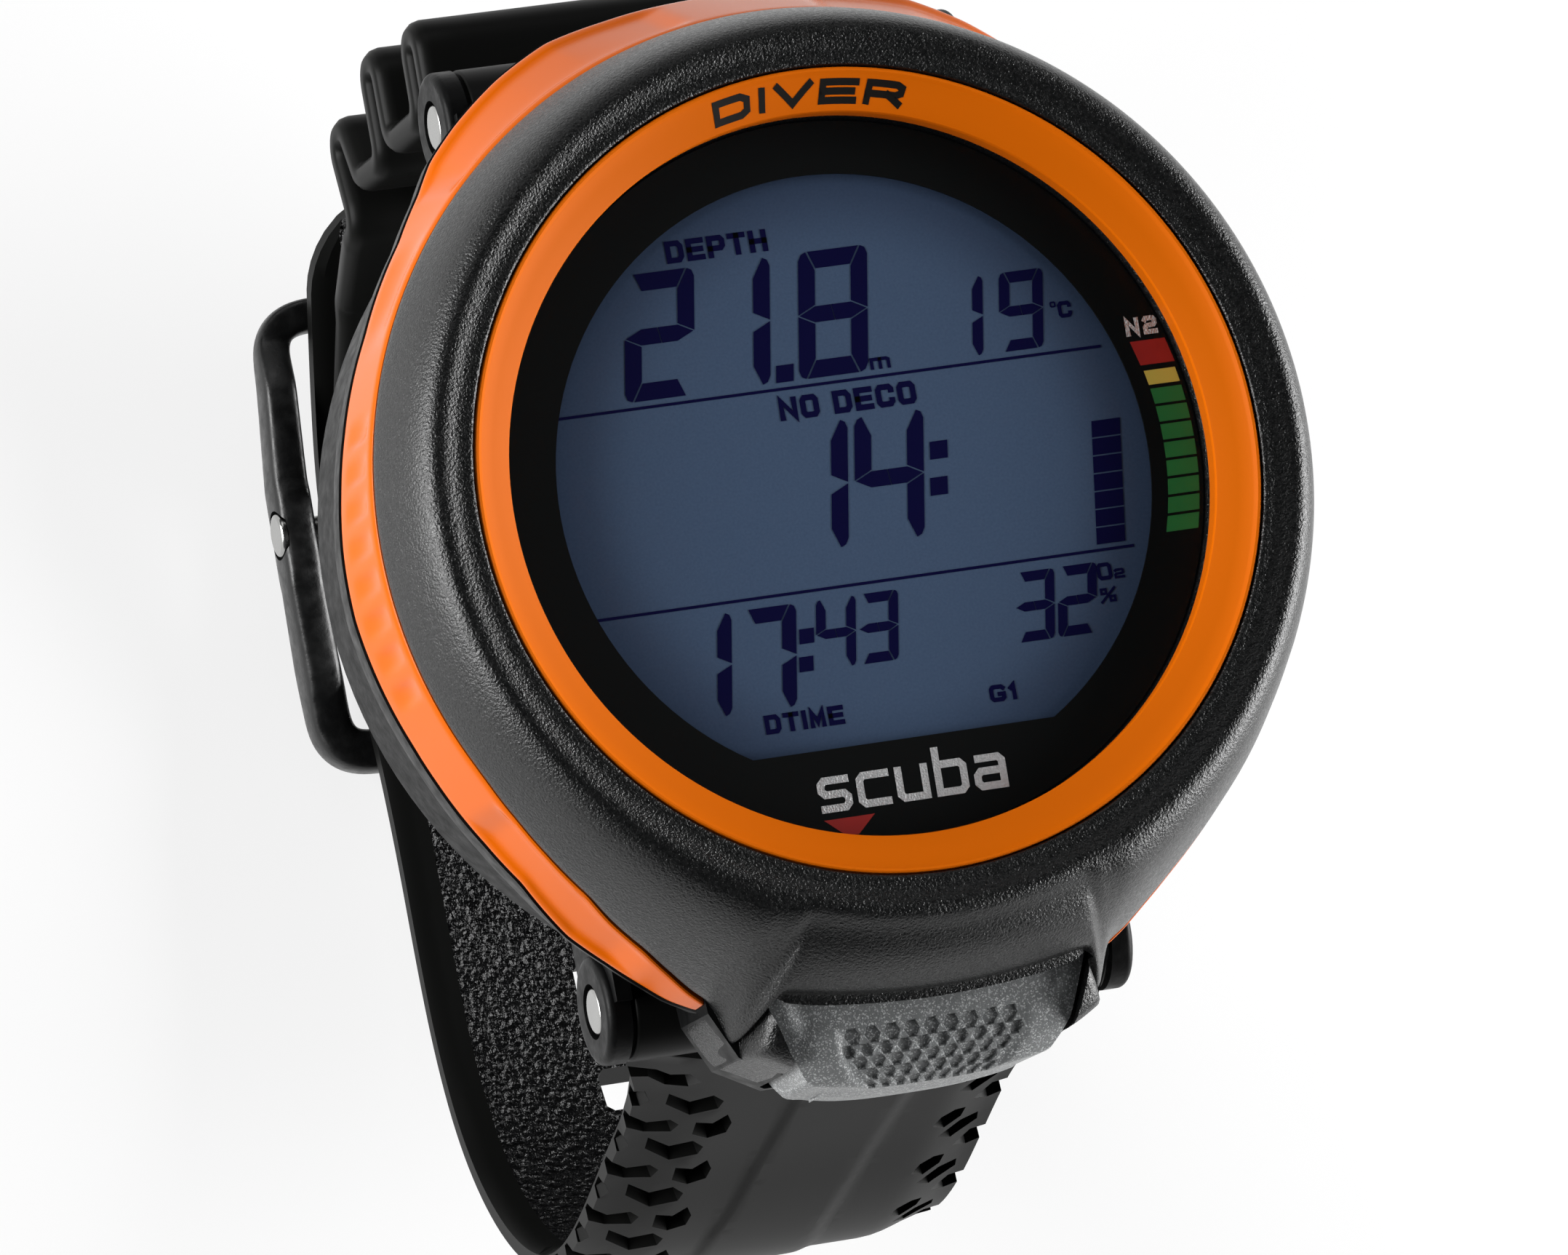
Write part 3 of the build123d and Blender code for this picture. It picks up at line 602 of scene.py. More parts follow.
def digit(ch, x, y, w, h, t):
    """Seven-segment digit, leaning to the right, as flat outlines."""
    g = 0.045 + 0.01 * t
    b = [(w - .48 * t + g, h - .01), (w - .16 * t, h - .14 * t), (w, h - .5 * t), (w, h / 2 + g),
         (w - t, h / 2 + .5 * t + g), (w - t, h - 1.12 * t)]
    a = [(.5 * t + g, h), (w - .5 * t - g, h), (w - t - g, h - t), (t + g, h - t)]
    half = [(g * 1.5, h / 2), (t, h / 2 + .46 * t), (w / 2 - .13 * t - g / 2, h / 2 + .46 * t),
            (w / 2 + .13 * t - g / 2, h / 2 - .46 * t), (t, h / 2 - .46 * t)]
    other = [(w - g * 1.5, h / 2), (w - t, h / 2 + .46 * t), (w / 2 - .13 * t + g / 2, h / 2 + .46 * t),
             (w / 2 + .13 * t + g / 2, h / 2 - .46 * t), (w - t, h / 2 - .46 * t)]
    flip_x = lambda pts: [(w - px, py) for px, py in pts]
    flip_y = lambda pts: [(px, h - py) for px, py in pts]
    shapes = {"a": [a], "b": [b], "c": [flip_y(b)], "d": [flip_y(a)], "e": [flip_x(flip_y(b))],
              "f": [flip_x(b)], "g": [half, other]}
    out = []
    for key in SEGMENTS[ch]:
        out += [[(x + px + SLANT * py, y + py) for px, py in s] for s in shapes[key]]
    return out


def box2(x0, y0, w, h, slant=0.0):
    return [(x0, y0), (x0 + w, y0), (x0 + w + slant * h, y0 + h), (x0 + slant * h, y0 + h)]


def wedge(y0, y1, r0, r1):
    """A printed scale field between two circles about the display's axis."""
    return [(math.sqrt(r * r - y * y), y) for r, y in ((r0, y0), (r1, y0), (r1, y1), (r0, y1))]


def on_lcd(x, y, top):
    return x, y, LCD_TOP + 0.02 * top


def on_mask(x, y, top):
    return x, y, MASK_TOP + 0.01 * top


# Each digit with its lower left corner, width, height and stroke.
digits = []
for ch, x, y, w, h, t in (
        ("2", -15.1, 7.28, 5.0, 8.72, 1.2), ("1", -9.65, 7.28, 5.0, 8.72, 1.2),
        ("8", -2.58, 7.28, 5.0, 8.72, 1.2),
        ("1", 7.6, 7.3, 3.2, 5.48, .76), ("9", 12.0, 7.3, 3.2, 5.48, .76),
        ("1", -6.25, -4.54, 5.0, 8.72, 1.2), ("4", -.75, -4.54, 5.0, 8.72, 1.2),
        ("1", -15.6, -14.9, 4.0, 7.0, 1.02), ("7", -10.95, -14.9, 4.0, 7.0, 1.02),
        ("4", -5.12, -12.7, 2.85, 4.78, .68), ("3", -2.05, -12.7, 2.85, 4.78, .68),
        ("3", 9.3, -12.77, 2.85, 4.8, .68), ("2", 12.4, -12.77, 2.85, 4.8, .68)):
    digits += digit(ch, x, y, w, h, t)
dots = [box2(-4.24, 7.28, 1.26, 1.18, SLANT), box2(5.64, .6, 1.28, 1.23, .15),
        box2(5.2, -1.88, 1.26, 1.23, .15), box2(-5.98, -10.74, 1.06, 1.02, .15),
        box2(-6.34, -12.64, 1.02, 1.02, .15)]
flat_piece("display_digits", digits + dots, segment_navy, "lcd", on_lcd)
bar = [box2(16.37 + .147 * k * 1.233, -6.8 + k * 1.233, 2.08, 1.13, .147) for k in range(7)]
rules = [box2(-20.1, 6.72, 39.4, .2), box2(-20.0, -7.3, 39.0, .2)]
flat_piece("display_bar_and_rules", bar + rules, segment_navy, "lcd", on_lcd)
labels = (lettering("DEPTH", -10.36, -3.06, 16.42, 1.55, .38, .22) +
          lettering("NO DECO", -4.4, 5.5, 4.62, 1.6, .40, .22) +
          lettering("DTIME", -9.45, -3.76, -16.55, 1.32, .33, .2) +
          lettering("G1", 6.76, 8.85, -16.57, 1.18, .30, .2) +
          lettering("m", 2.62, 4.08, 7.3, .82, .24) +
          lettering("O", 16.2, 16.62, 9.92, .42, .11) + lettering("C", 16.72, 17.7, 9.12, 1.15, .27) +
          lettering("O", 16.0, 17.08, -9.3, 1.2, .27) + lettering("2", 17.2, 17.95, -9.3, .68, .17) +
          lettering("%", 15.9, 17.1, -10.9, 1.1, .17))
flat_piece("display_labels", labels, segment_navy, "lcd", on_lcd)
greens = [wedge(-6.68 + 1.275 * k, -6.68 + 1.275 * k + 1.08, 22.35, 24.6) for k in range(8)]
mark = [(-6.7, -22.98), (-3.05, -22.98), (-4.4, -24.2), (-5.3, -24.2)]
for name, quads, mat in (
        ("scale_label", lettering("N2", 21.1, 23.45, 7.12, 1.28, .34, .25), silver_print),
        ("scale_red_field", [wedge(5.02, 6.74, 22.3, 24.75)], scale_red),
        ("scale_yellow_field", [wedge(3.6, 4.62, 22.35, 24.6)], scale_yellow),
        ("scale_green_fields", greens, scale_green),
        ("lower_word", lettering("scuba", -6.82, 6.78, -22.5, 2.45, .52, .42, slant=.02), silver_print),
        ("lower_mark", [mark], scale_red)):
    flat_piece(name, quads, mat, "mask_black", on_mask)


# ---------------------------------------------------------------- side trim
# Outer radius of the trim at its lower edge.
OUTER = [(90, 36.3), (96, 36.4), (104, 36.6), (111, 36.95), (118, 36.65), (125, 36.1), (130, 35.6),
         (134, 34.8), (140, 34.1), (152, 33.6), (164, 33.6), (171, 33.7), (178, 33.9), (186, 34.05),
         (194, 33.95), (202, 33.85), (207, 33.9), (216, 34.1), (222, 34.4), (226, 34.75), (230, 35.1),
         (235, 35.4), (240, 35.85), (243.5, 36.25), (247, 36.55)]
# Lower edge of the trim: angle and height. TIP is the angle where it ends.
LOW_Z = [(90, 13.8), (222, 13.8), (226, 13), (230, 12.2), (243, 12.2), (247, 13.4)]
TIP = 246.4


def horseshoe(name, profile, steps, mat, sharp):
    """A band with that (radius, height) profile from one tip over 12 o'clock to the other tip."""
    angles = [90 + (TIP - 90) * k / steps for k in range(steps + 1)]
    sections = []
    for deg in angles[::-1] + [180 - a for a in angles[1:]]:
        a = math.radians(deg)
        sections.append([(r * math.cos(a), r * math.sin(a), z) for r, z in profile(max(deg, 180 - deg))])
    return loft(name, sections, mat, sharp=sharp)


def trim_profile(deg):
    """Closed profile of the trim at an angle on its left half."""
    top, out = table(TOP, deg), table(OUTER, deg)
    z1, z0 = table(TOP_Z, deg), table(LOW_Z, deg)
    deep = 0.0
    for a, b, depth in ((97, 136, 0.40), (212, 239, 0.45)):
        deep = max(deep, depth * smooth(a, a + 4, deg) * (1 - smooth(b - 5, b, deg)))
    sliver = 0.35 * smooth(139, 145, deg) * (1 - smooth(148, 157, deg))
    slots = 0.0
    if 163 < deg < 199:
        phase = (deg - 163) / 4.5 % 1.0
        slots = 0.30 * smooth(0.12, 0.22, phase) * (1 - smooth(0.66, 0.78, phase))

    def skin(f, cut=0.0):
        """Point on the outer face, f from its top edge to its lower edge, sunk by cut."""
        return mix(top + 0.04, out, f) - cut, mix(z1 - 0.12, z0 + 0.3, f)

    most = max(deep, sliver, slots)
    return [(top - 0.5, z1 - 0.5), (top - 0.3, z1), skin(0.0), skin(0.11), skin(0.14, deep), skin(0.34, most),
            skin(0.58, most), skin(0.80, max(deep, sliver * 0.3)), skin(0.88, deep), skin(0.92), skin(1.0),
            (out - 0.12, z0 + 0.06), (out - 0.35, z0), (32.9, z0), (32.75, z0 + 0.3), (32.75, z1 - 0.9)]


def flange_profile(deg):
    """Edge of the case that shows as a thin dark line under the trim."""
    out, z0 = table(OUTER, deg) + 0.04, table(LOW_Z, deg) - 0.03
    return [(32.4, z0), (out - 0.3, z0), (out, z0 - 0.12), (out - 0.02, z0 - 0.5), (out - 0.25, 11.2),
            (mix(32.7, out, 0.35), 9.5), (32.4, 9.3)]


trim = horseshoe("trim_band", trim_profile, 210, trim_orange, 30)
subdivide(trim, 1)
clean(trim, 30)
place(trim, "case", "trim_orange", "side_trim")
place(horseshoe("case_flange", flange_profile, 125, case_black, 40), "case", "case_plastic")


# ---------------------------------------------------------------- button
BUTTON_HALF, BUTTON_FOOT = 11.65, 9.9
BUTTON_PATH = Path(rounded_line([(-31.7, 20.0), (-33.6, 19.85), (-38.6, 18.75), (-40.6, 16.6), (-41.0, 13.2),
                                 (-40.8, BUTTON_FOOT)], 1.6))
HEX_SUNK, FIELD_SUNK = 0.234, 0.26


def button_point(x, v, sunk):
    """Point on the cap: x across its widest part, v down its face from under the hood, sunk inwards."""
    y, z, ny, nz = BUTTON_PATH.at(v)
    half = table([(0, BUTTON_HALF), (2.2, BUTTON_HALF), (5.5, 10.5), (8.2, 9.45), (9.6, 8.7), (10.6, 7.6),
                  (12, 7.0)], v)
    u = x / BUTTON_HALF
    drop = 0.55 * abs(u) ** 3 + sunk
    return u * half, y - ny * drop, z - nz * drop


def hex_cell(cx, cy, r):
    return [(cx + r * math.cos(math.radians(60 * k)), cy + r * 0.92 * math.sin(math.radians(60 * k)))
            for k in range(6)]


def inside(x, y, poly):
    hit = False
    for (ax, ay), (bx, by) in zip(poly, poly[1:] + poly[:1]):
        if (ay > y) != (by > y) and x < (bx - ax) * (y - ay) / (by - ay) + ax:
            hit = not hit
    return hit


def edge_distance(x, y, poly):
    best = 1e9
    for (ax, ay), (bx, by) in zip(poly, poly[1:] + poly[:1]):
        dx, dy = bx - ax, by - ay
        t = min(1, max(0, ((x - ax) * dx + (y - ay) * dy) / (dx * dx + dy * dy)))
        best = min(best, math.hypot(x - ax - t * dx, y - ay - t * dy))
    return best


def within(x, y, box, margin):
    x0, x1, y0, y1 = box
    return x0 - margin <= x <= x1 + margin and y0 - margin <= y <= y1 + margin


class Relief:
    """Sunk shapes on a flat layout: depth at a point from outlines, each with its inner outline."""

    def __init__(self):
        self.items = []

    def add(self, outer, inner, depth):
        xs, ys = zip(*outer)
        self.items.append((outer, inner, depth, min(xs), max(xs), min(ys), max(ys)))

    def depth(self, x, y):
        for outer, inner, depth, *box in self.items:
            if within(x, y, box, 1e-4):
                d_in = edge_distance(x, y, inner)
                if inside(x, y, inner) or d_in < 1e-3:
                    return depth
                d_out = edge_distance(x, y, outer)
                if inside(x, y, outer) and d_out > 1e-3:
                    return depth * d_out / (d_out + d_in)
        return 0.0

    def covers(self, x, y, margin=0.0):
        return any(within(x, y, box, margin) and (inside(x, y, outer) or edge_distance(x, y, outer) < margin)
                   for outer, _, _, *box in self.items)


def shrunk(poly, amount, low_extra=0.0):
    """The outline moved inwards; edges on its low side may move further."""
    n = len(poly)
    area = sum(a[0] * b[1] - b[0] * a[1] for a, b in zip(poly, poly[1:] + poly[:1]))
    sign = 1 if area > 0 else -1
    lines = []
    for (ax, ay), (bx, by) in zip(poly, poly[1:] + poly[:1]):
        size = math.hypot(bx - ax, by - ay)
        nx, ny = -(by - ay) / size * sign, (bx - ax) / size * sign
        move = amount + (low_extra if ny < -0.5 else 0.0)
        lines.append((nx, ny, nx * ax + ny * ay + move))
    out = []
    for i in range(n):
        a1, b1, c1 = lines[i - 1]
        a2, b2, c2 = lines[i]
        det = a1 * b2 - a2 * b1
        if abs(det) < 0.05:
            out.append((poly[i][0] + a2 * amount, poly[i][1] + b2 * amount))
        else:
            out.append(((c1 * b2 - c2 * b1) / det, (a1 * c2 - a2 * c1) / det))
    return out


def triangulate(points, closed, open_lines=(), keep=lambda x, y: True):
    """Triangles over the layout that follow its lines, kept where keep(x, y) says so."""
    verts, edges = [Vector(p) for p in points], []
    for line, end in [(line, 0) for line in closed] + [(line, 1) for line in open_lines]:
        first, n = len(verts), len(line)
        verts += [Vector(p) for p in line]
        edges += [(first + k, first + (k + 1) % n) for k in range(n - end)]
    out, _, faces, *_ = delaunay_2d_cdt(verts, edges, [], 0, 1e-4)
    centres = [sum((out[i] for i in f), Vector((0, 0))) / len(f) for f in faces]
    return [(p.x, p.y) for p in out], [tuple(f) for f, c in zip(faces, centres) if keep(c.x, c.y)]


def border(faces):
    """Edges that only one face uses."""
    uses = {}
    for f in faces:
        for a, b in zip(f, f[1:] + f[:1]):
            uses.setdefault((min(a, b), max(a, b)), []).append((a, b))
    return [pairs[0] for pairs in uses.values() if len(pairs) == 1]


def make_button():
    cells = Relief()
    pitch = 1.42
    for row in range(5):
        v = 5.75 + row * pitch * 0.80
        reach = 7.6 - 0.10 * (row - 1.6) ** 2 - row * 0.12
        for col in range(-7, 8):
            x = (col + (0.5 if row % 2 else 0)) * pitch * 1.12
            if abs(x) < reach and v < 10.4:
                cell = hex_cell(x, v, 0.78)
                cells.add(cell, shrunk(cell, 0.10), HEX_SUNK)
    across, down = 38, 46
    grid = [(i / across * BUTTON_HALF, j * BUTTON_PATH.length / down)
            for i in range(-across, across + 1) for j in range(down + 1)]
    grid = [(x, v) for x, v in grid if not cells.covers(x, v, 0.12)]
    flat, faces = triangulate(grid, [o for o, *_ in cells.items] + [inner for _, inner, *_ in cells.items])

    def sunk(x, v):
        """Depth of the finger hollow, of the field of cells and of the cells."""
        rim = smooth(0.80, 0.93, abs(x) / BUTTON_HALF) + smooth(2.0, 0.4, v)
        hollow = 0.35 * (1 - min(1.0, rim)) * smooth(0.8, 2.4, v) * (1 - smooth(4.4, 5.6, v))
        field = smooth(8.4, 7.4, abs(x) + 0.25 * abs(v - 7.4)) * smooth(4.9, 5.5, v) * smooth(10.7, 10.0, v)
        return hollow + FIELD_SUNK * field + cells.depth(x, v)

    verts = [button_point(x, v, sunk(x, v)) for x, v in flat]
    foot = {}
    edges = border(faces)
    for i in (i for edge in edges for i in edge if i not in foot):
        foot[i] = len(verts)
        verts.append((verts[i][0] * 0.985, max(verts[i][1], -40.9), BUTTON_FOOT))
    walls = [(a, b, foot[b], foot[a]) for a, b in edges]
    obj = add_mesh("button_face", verts, faces + walls, [button_smoke], sharp=38)
    bm = bmesh.new()
    bm.from_mesh(obj.data)
    bmesh.ops.holes_fill(bm, edges=[e for e in bm.edges if e.is_boundary], sides=0)
    bmesh.ops.triangulate(bm, faces=[f for f in bm.faces if len(f.verts) > 4])
    bm.to_mesh(obj.data)
    bm.free()
    clean(obj, 38)
    place(obj, "button", "button_smoke", "button_cap")


make_button()


# ---------------------------------------------------------------- long strap
LONG = Path(spline([(-34.0, 3.0), (-37.2, -6.4), (-40.4, -15.8), (-44.1, -26.6), (-45.2, -34.0),
                    (-39.8, -47.4), (-33.1, -52.7), (-26.1, -54.9), (-11.6, -55.7), (-3.5, -56.6),
                    (5.0, -58.6), (13.5, -60.15), (21.8, -57.6), (30.3, -53.0), (37.6, -48.9)]))
LONG_END = LONG.length
SLOT_X, SLOT_S, SLOT_FIRST, SLOT_PITCH, SLOT_COUNT = 6.2, 3.8, 63.3, 8.6, 8
TREAD_PITCH, TREAD_DEPTH = 7.3, 0.95
BORE = 1.16
# The strap's inner face is rough within this half width, from this distance on.
ROUGH_HALF, ROUGH_FROM = 11.9, 14
# The two long ridges on the strap: distance along it and x.
RIDGE_L = [(0, -7.0), (1.7, -6.5), (4.8, -4.3), (7.1, -3.2), (9.3, -2.9), (14.2, -3.2), (20.5, -3.7),
           (27.7, -4.3), (31.2, -4.8), (50, -5.6), (60, -6.4), (140, -6.4)]
RIDGE_R = [(0, 7.6), (8, 6.5), (11.3, 5.9), (17, 5.3), (22.8, 4.7), (28.8, 4.1), (32.4, 3.9), (50, 5.2),
           (60, 6.4), (140, 6.4)]


def strap_half(s):
    """Half width along the long strap, with a rounded tip."""
    half = table([(0, 17.3), (1.5, 17.0), (3.5, 16.2), (6.5, 15.2), (10, 14.7), (14, 14.4), (200, 14.4)], s)
    left, tip = LONG_END - s, 8.0
    if left < tip:
        half = 14.4 - tip + math.sqrt(max(0.0, tip ** 2 - (tip - left) ** 2))
    return half


def tread():
    """Tread pockets near both edges of the long strap, as layout outlines of (x, s)."""
    left = [
        [(-12.6, 7.3), (-11.0, 8.2), (-9.5, 7.2), (-8.5, 8.4), (-8.7, 9.5), (-10.6, 10.3), (-12.5, 9.0)],
        [(-9.9, 11.5), (-8.6, 11.9), (-7.7, 10.8), (-7.1, 12.3), (-7.2, 13.8), (-8.5, 14.3), (-9.8, 13.4)]]
    left_edge = [
        [(-15.3, 10.8), (-14.6, 11.0), (-13.2, 12.2), (-11.7, 11.4), (-11.0, 12.0), (-11.3, 13.2),
         (-13.1, 13.7), (-14.7, 12.8), (-15.3, 12.7)],
        [(-15.6, 7.0), (-14.3, 7.1), (-13.7, 8.7), (-14.2, 9.5), (-15.6, 9.2)]]
    right = [
        [(9.3, 11.2), (9.7, 9.9), (10.7, 9.4), (11.7, 9.9), (11.6, 11.2), (10.4, 12.0)],
        [(10.2, 13.3), (11.7, 12.0), (13.2, 11.9), (13.4, 13.1), (11.5, 14.4)],
        [(12.1, 16.2), (13.2, 14.6), (15.3, 14.5), (15.3, 16.2), (13.4, 17.0)]]
    out = [[(-16.6, 2.6), (-14.3, 3.3), (-13.2, 4.0), (-11.9, 3.6), (-10.9, 4.9), (-11.6, 5.7), (-13.2, 5.8),
            (-14.6, 4.6), (-16.6, 4.4)]]
    for k in range(int((LONG_END - 24) / TREAD_PITCH)):
        for shape in left + (left_edge if k < 5 else []) + right:
            out.append([(x, s + TREAD_PITCH * k) for x, s in shape])
    return out


def make_long_strap():
    pockets = Relief()
    for shape in tread():
        floor = shrunk([(x, -s) for x, s in shape], 0.16, 0.55)
        pockets.add(shape, [(x, -s) for x, s in floor], TREAD_DEPTH)
    slots = []
    for k in range(SLOT_COUNT):
        s = SLOT_FIRST + SLOT_PITCH * k
        a, b, c = SLOT_X / 2, SLOT_S / 2, 0.5
        slots.append([(-a + c, s - b), (a - c, s - b), (a, s - b + c), (a, s + b - c), (a - c, s + b),
                      (-a + c, s + b), (-a, s + b - c), (-a, s - b + c)])
    outline_s = [k * 1.1 for k in range(int(LONG_END / 1.1))]
    outline_s += [LONG_END - d for d in (0.9, 0.6, 0.35, 0.15, 0.05, 0.0)]
    outline_s = sorted(set(round(v, 3) for v in outline_s))
    outline = [(-strap_half(s), s) for s in outline_s] + [(strap_half(s), s) for s in reversed(outline_s)]

    def near_slot(x, s):
        return any(inside(x, s, q) or edge_distance(x, s, q) < 0.2 for q in slots if abs(q[0][1] - s) < 6)

    across = 36
    grid = [((2 * i / across - 1) * strap_half(s), s) for s in outline_s[1:-1] for i in range(1, across)]
    grid = [(x, s) for x, s in grid if not (pockets.covers(x, s, 0.2) or near_slot(x, s))]
    closed = [outline] + slots + [o for o, *_ in pockets.items] + [inner for _, inner, *_ in pockets.items]
    steps = [k * 1.5 for k in range(1, int((LONG_END - 4) / 1.5))]
    lines = []
    for ridge, offsets in ((RIDGE_L, (-0.42, -0.14, 0.14, 0.42)), (RIDGE_R, (-0.8, -0.3, 0.3, 0.8))):
        lines += [[(table(ridge, s) + off, s) for s in steps] for off in offsets]
    lines += [[(x, s) for s in steps if s > ROUGH_FROM] for x in (-ROUGH_HALF, ROUGH_HALF)]

    def keep(x, s):
        return 0 <= s <= LONG_END and abs(x) < strap_half(s) and not any(inside(x, s, q) for q in slots)

    flat, faces = triangulate(grid, closed, lines, keep)

    def offsets(x, s):
        """Outer and inner distance from the strap's middle line."""
        half = strap_half(s)
        body = 1.45 - 1.15 * smooth(0.62, 1.0, abs(x) / half)
        rise = 0.30 * smooth(-0.42, 0.42, x - table(RIDGE_L, s))
        rise *= 1 - smooth(-0.8, 0.8, x - table(RIDGE_R, s))
        outer = (body + rise) * mix(0.6, 1, smooth(0, 4, LONG_END - s))
        if pockets.covers(x, s):
            outer = max(outer - pockets.depth(x, s), -0.85)
        return outer, 1.2 - 0.35 * smooth(half - 0.5, half, abs(x))

    outer_side, inner_side = [], []
    for x, s in flat:
        y, z, ny, nz = LONG.at(s)
        outer, inner = offsets(x, s)
        outer_side.append((x, y + ny * outer, z + nz * outer))
        inner_side.append((x, y - ny * inner, z - nz * inner))
    shift = len(flat)
    walls = [(b, a, a + shift, b + shift) for a, b in border(faces)]
    finish = [0] * len(faces)
    for f in faces:
        x, s = (sum(flat[i][axis] for i in f) / len(f) for axis in (0, 1))
        finish.append(1 if abs(x) < ROUGH_HALF and s > ROUGH_FROM else 0)
    finish += [0] * len(walls)
    obj = add_mesh("long_strap_body", outer_side + inner_side,
                   faces + [tuple(i + shift for i in reversed(f)) for f in faces] + walls,
                   [strap_black, strap_rough], sharp=24, face_slots=finish)
    boolean(obj, rod("barrel_tool", -17.3, 17.3, -31.4, 4.0, 3.83, strap_black, rim=0.3), "UNION", 24)
    boolean(obj, rod("bore_tool", -20, 20, -31.4, 4.0, BORE, strap_black, steps=32), "DIFFERENCE", 24)
    place(obj, "long_strap", "strap_rubber", "long_strap")


make_long_strap()


# ---------------------------------------------------------------- short strap
SHORT = Path(rounded_line([(33.9, 3.0), (35.3, -7.3), (40.5, -7.2), (40.5, -10.2), (34.9, -10.4),
                           (34.9, -18.6), (41.1, -18.7), (41.1, -21.8), (34.2, -21.8), (34.3, -28.0),
                           (38.6, -30.2), (38.2, -33.2), (31.6, -31.4), (28.0, -42.8),
                           (15.2, -54.0)], 1.45, step=0.3))


def short_section(s):
    """Rounded flat section of the short strap at a distance along it."""
    y, z, ny, nz = SHORT.at(s)
    half = table([(-70, 15.0), (-44, 15.0), (-34, 16.3), (-5, 16.3), (-2, 17.2), (9, 17.2)], z)
    steps = [half, half - 0.12, half - 0.45, half - 1.0, half - 3, half - 6, half * 0.5, 3]
    row = [-x for x in steps] + [0] + steps[::-1]
    loop = []
    for side, xs in ((-1, row), (1, row[::-1])):
        for x in xs:
            lift = side * 1.1 * (1 - 0.55 * (1 - min(1.0, (half - abs(x)) / 0.9)) ** 2)
            loop.append((x, y - ny * lift, z - nz * lift))
    return loop


PIN_Y, PIN_Z = 13.5, -56.2


def make_short_strap():
    count = int(SHORT.length / 0.32)
    sections = [short_section(SHORT.length * k / count) for k in range(count + 1)]
    obj = loft("short_strap_body", sections, strap_black, sharp=50)
    for half, y, z, r in ((17.25, 31.4, 4.0, 3.83), (15.1, PIN_Y, PIN_Z, 1.98)):
        boolean(obj, rod("barrel_tool", -half, half, y, z, r, strap_black, rim=0.25, steps=48), "UNION", 40)
        boolean(obj, rod("bore_tool", -22, 22, y, z, BORE, strap_black, steps=32), "DIFFERENCE", 40)
    corners = [(8, -60), (17.6, -60), (17.6, -51.2), (8, -51.2)]
    gap = loft("gap_tool", [[(x, y, z) for y, z in corners] for x in (-3.0, 3.0)], strap_black)
    boolean(obj, gap, "DIFFERENCE", 40)
    place(obj, "short_strap", "strap_rubber", "short_strap")


make_short_strap()


# ---------------------------------------------------------------- buckle
# Upper and lower side of the buckle's rails: y and z.
RAIL_UP = [(-5, -59.3), (-0.8, -58.9), (2.5, -57.2), (9.5, -54.9), (13.5, -53.8), (17.5, -54.5),
           (25.0, -54.8), (28.2, -56.6), (31.5, -56.2)]
RAIL_LOW = [(-5, -62.2), (-1.5, -62.4), (3.5, -61.4), (9.5, -58.8), (13.5, -58.8), (17.5, -58.5),
            (24.5, -58.4), (31.5, -58.9)]


def make_buckle():
    outline = []
    side = [(17.7, 31.2), (19.1, 17.0), (19.1, 10.0), (17.7, -4.6)]
    pts = [Vector(c) for c in side + [(-x, y) for x, y in reversed(side)]]
    for i, corner in enumerate(pts):
        before, after = pts[i - 1], pts[(i + 1) % len(pts)]
        radius = 5.0 if abs(abs(corner.x) - 17.7) < 0.1 else 14.0
        u, v = (before - corner).normalized(), (after - corner).normalized()
        half = u.angle(v) / 2
        reach = min(radius / math.tan(half), 5.0)
        start, end = corner + u * reach, corner + v * reach
        outline += [start * (1 - t) ** 2 + corner * 2 * t * (1 - t) + end * t * t
                    for t in (k / 8 for k in range(9))]
        step = 1.2
        straight = [end + v * k * step for k in range(1, int((after - corner).length / step))]
        outline += [p for p in straight if (p - after).length > 5.2]
    n = len(outline)
    sections = []
    for i, p in enumerate(outline):
        d = (outline[(i + 1) % n] - outline[i - 1]).normalized()
        inward = Vector((d.y, -d.x))
        if inward.dot(Vector((0, 13.3)) - p) < 0:
            inward = -inward
        wide = table([(-4.6, 3.3), (0, 3.1), (8, 2.85), (13.5, 3.05), (19, 2.85), (28, 2.6)], p.y)
        ring = []
        for a in (2 * math.pi * k / 16 for k in range(16)):
            across, height = (math.copysign(abs(part) ** 0.5, part) for part in (math.cos(a), math.sin(a)))
            q = p + inward * wide / 2 * (1 - across)
            ring.append((q.x, q.y, mix(table(RAIL_LOW, q.y), table(RAIL_UP, q.y), 0.5 + 0.5 * height)))
        sections.append(ring)
    obj = loft("buckle_body", sections, buckle_black, ring=True, sharp=60)
    subdivide(obj, 1)
    for x0, x1, radius, steps in ((-18.6, -21, 1.85, 48), (18.6, 21, 1.85, 48), (-22, 22, 1.12, 32)):
        hole = rod("bore_tool", x0, x1, PIN_Y, PIN_Z, radius, buckle_black, steps=steps)
        boolean(obj, hole, "DIFFERENCE", 40)
    place(obj, "buckle", "buckle_plastic", "buckle_frame")


make_buckle()


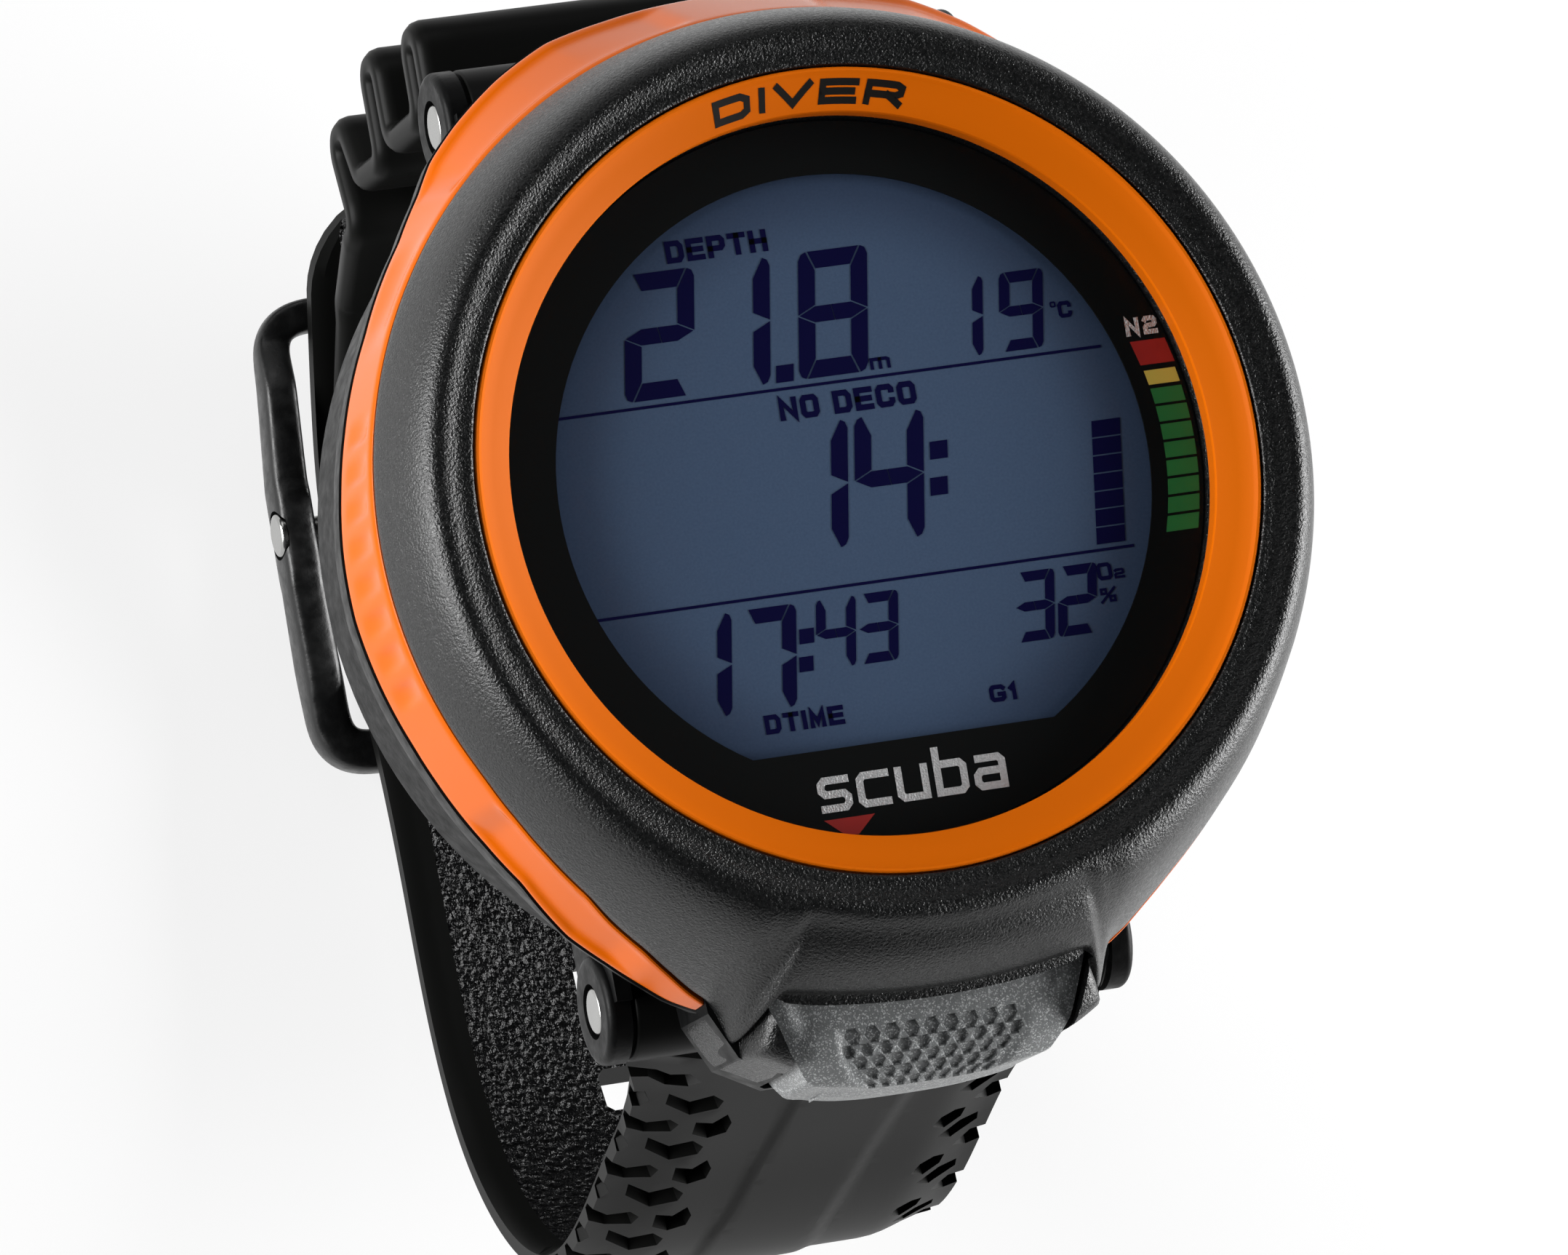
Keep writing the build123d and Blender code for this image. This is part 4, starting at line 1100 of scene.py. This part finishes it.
# ---------------------------------------------------------------- camera, lights and floor
def make_camera():
    data = bpy.data.cameras.new("camera")
    data.lens, data.sensor_width, data.sensor_fit = 267.16, 36.0, "HORIZONTAL"
    data.clip_start, data.clip_end = 0.01, 20
    obj = bpy.data.objects.new("camera", data)
    right, up, back = (0.94415, -0.17912, 0.27657), (0.13392, 0.97549, 0.17461), (-0.30106, -0.12782, 0.94500)
    turn = Matrix((right, up, back)).transposed()
    obj.matrix_world = Matrix.LocRotScale(Vector((-244.9, -110.5, 770.8)) * MM, turn, None)
    bpy.context.scene.collection.objects.link(obj)
    bpy.context.scene.camera = obj


def area_light(name, place_at, target, size, power):
    data = bpy.data.lights.new(name, "AREA")
    data.shape, data.size, data.size_y = "RECTANGLE", size[0], size[1]
    data.energy = power
    obj = bpy.data.objects.new(name, data)
    obj.location = place_at
    aim = Vector(target) - Vector(place_at)
    obj.rotation_euler = aim.to_track_quat("-Z", "Y").to_euler()
    bpy.context.scene.collection.objects.link(obj)


def make_stage():
    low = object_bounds()[0][2] - 0.0005
    half = 6.0
    mesh = bpy.data.meshes.new("floor")
    corners = [(-half, -half, low), (half, -half, low), (half, half, low), (-half, half, low)]
    mesh.from_pydata(corners, [], [(0, 1, 2, 3)])
    pale = material("floor_pale", (0.22, 0.22, 0.22), 0.9, specular=0.1, tone=(3, 0.01))
    glow = pale.node_tree.nodes["Principled BSDF"]
    glow.inputs["Emission Color"].default_value = (1, 1, 1, 1)
    glow.inputs["Emission Strength"].default_value = 0.72
    mesh.materials.append(pale)
    floor = bpy.data.objects.new("floor", mesh)
    bpy.context.scene.collection.objects.link(floor)
    world = bpy.data.worlds.new("studio")
    world.use_nodes = True
    sky = world.node_tree.nodes["Background"].inputs
    sky[0].default_value, sky[1].default_value = (0.95, 0.97, 1.0, 1), 0.06
    bpy.context.scene.world = world
    bpy.context.scene.view_settings.view_transform = "Standard"
    area_light("key_left", (-0.62, 0.08, 0.14), (0, 0, 0.02), (0.5, 0.34), 8.5)
    area_light("fill_top", (-0.10, 0.75, 0.55), (0, 0, 0), (0.7, 0.4), 1.0)
    area_light("rim_right", (0.62, -0.10, 0.15), (0, 0, 0.02), (0.62, 0.35), 11.0)


make_camera()
make_stage()
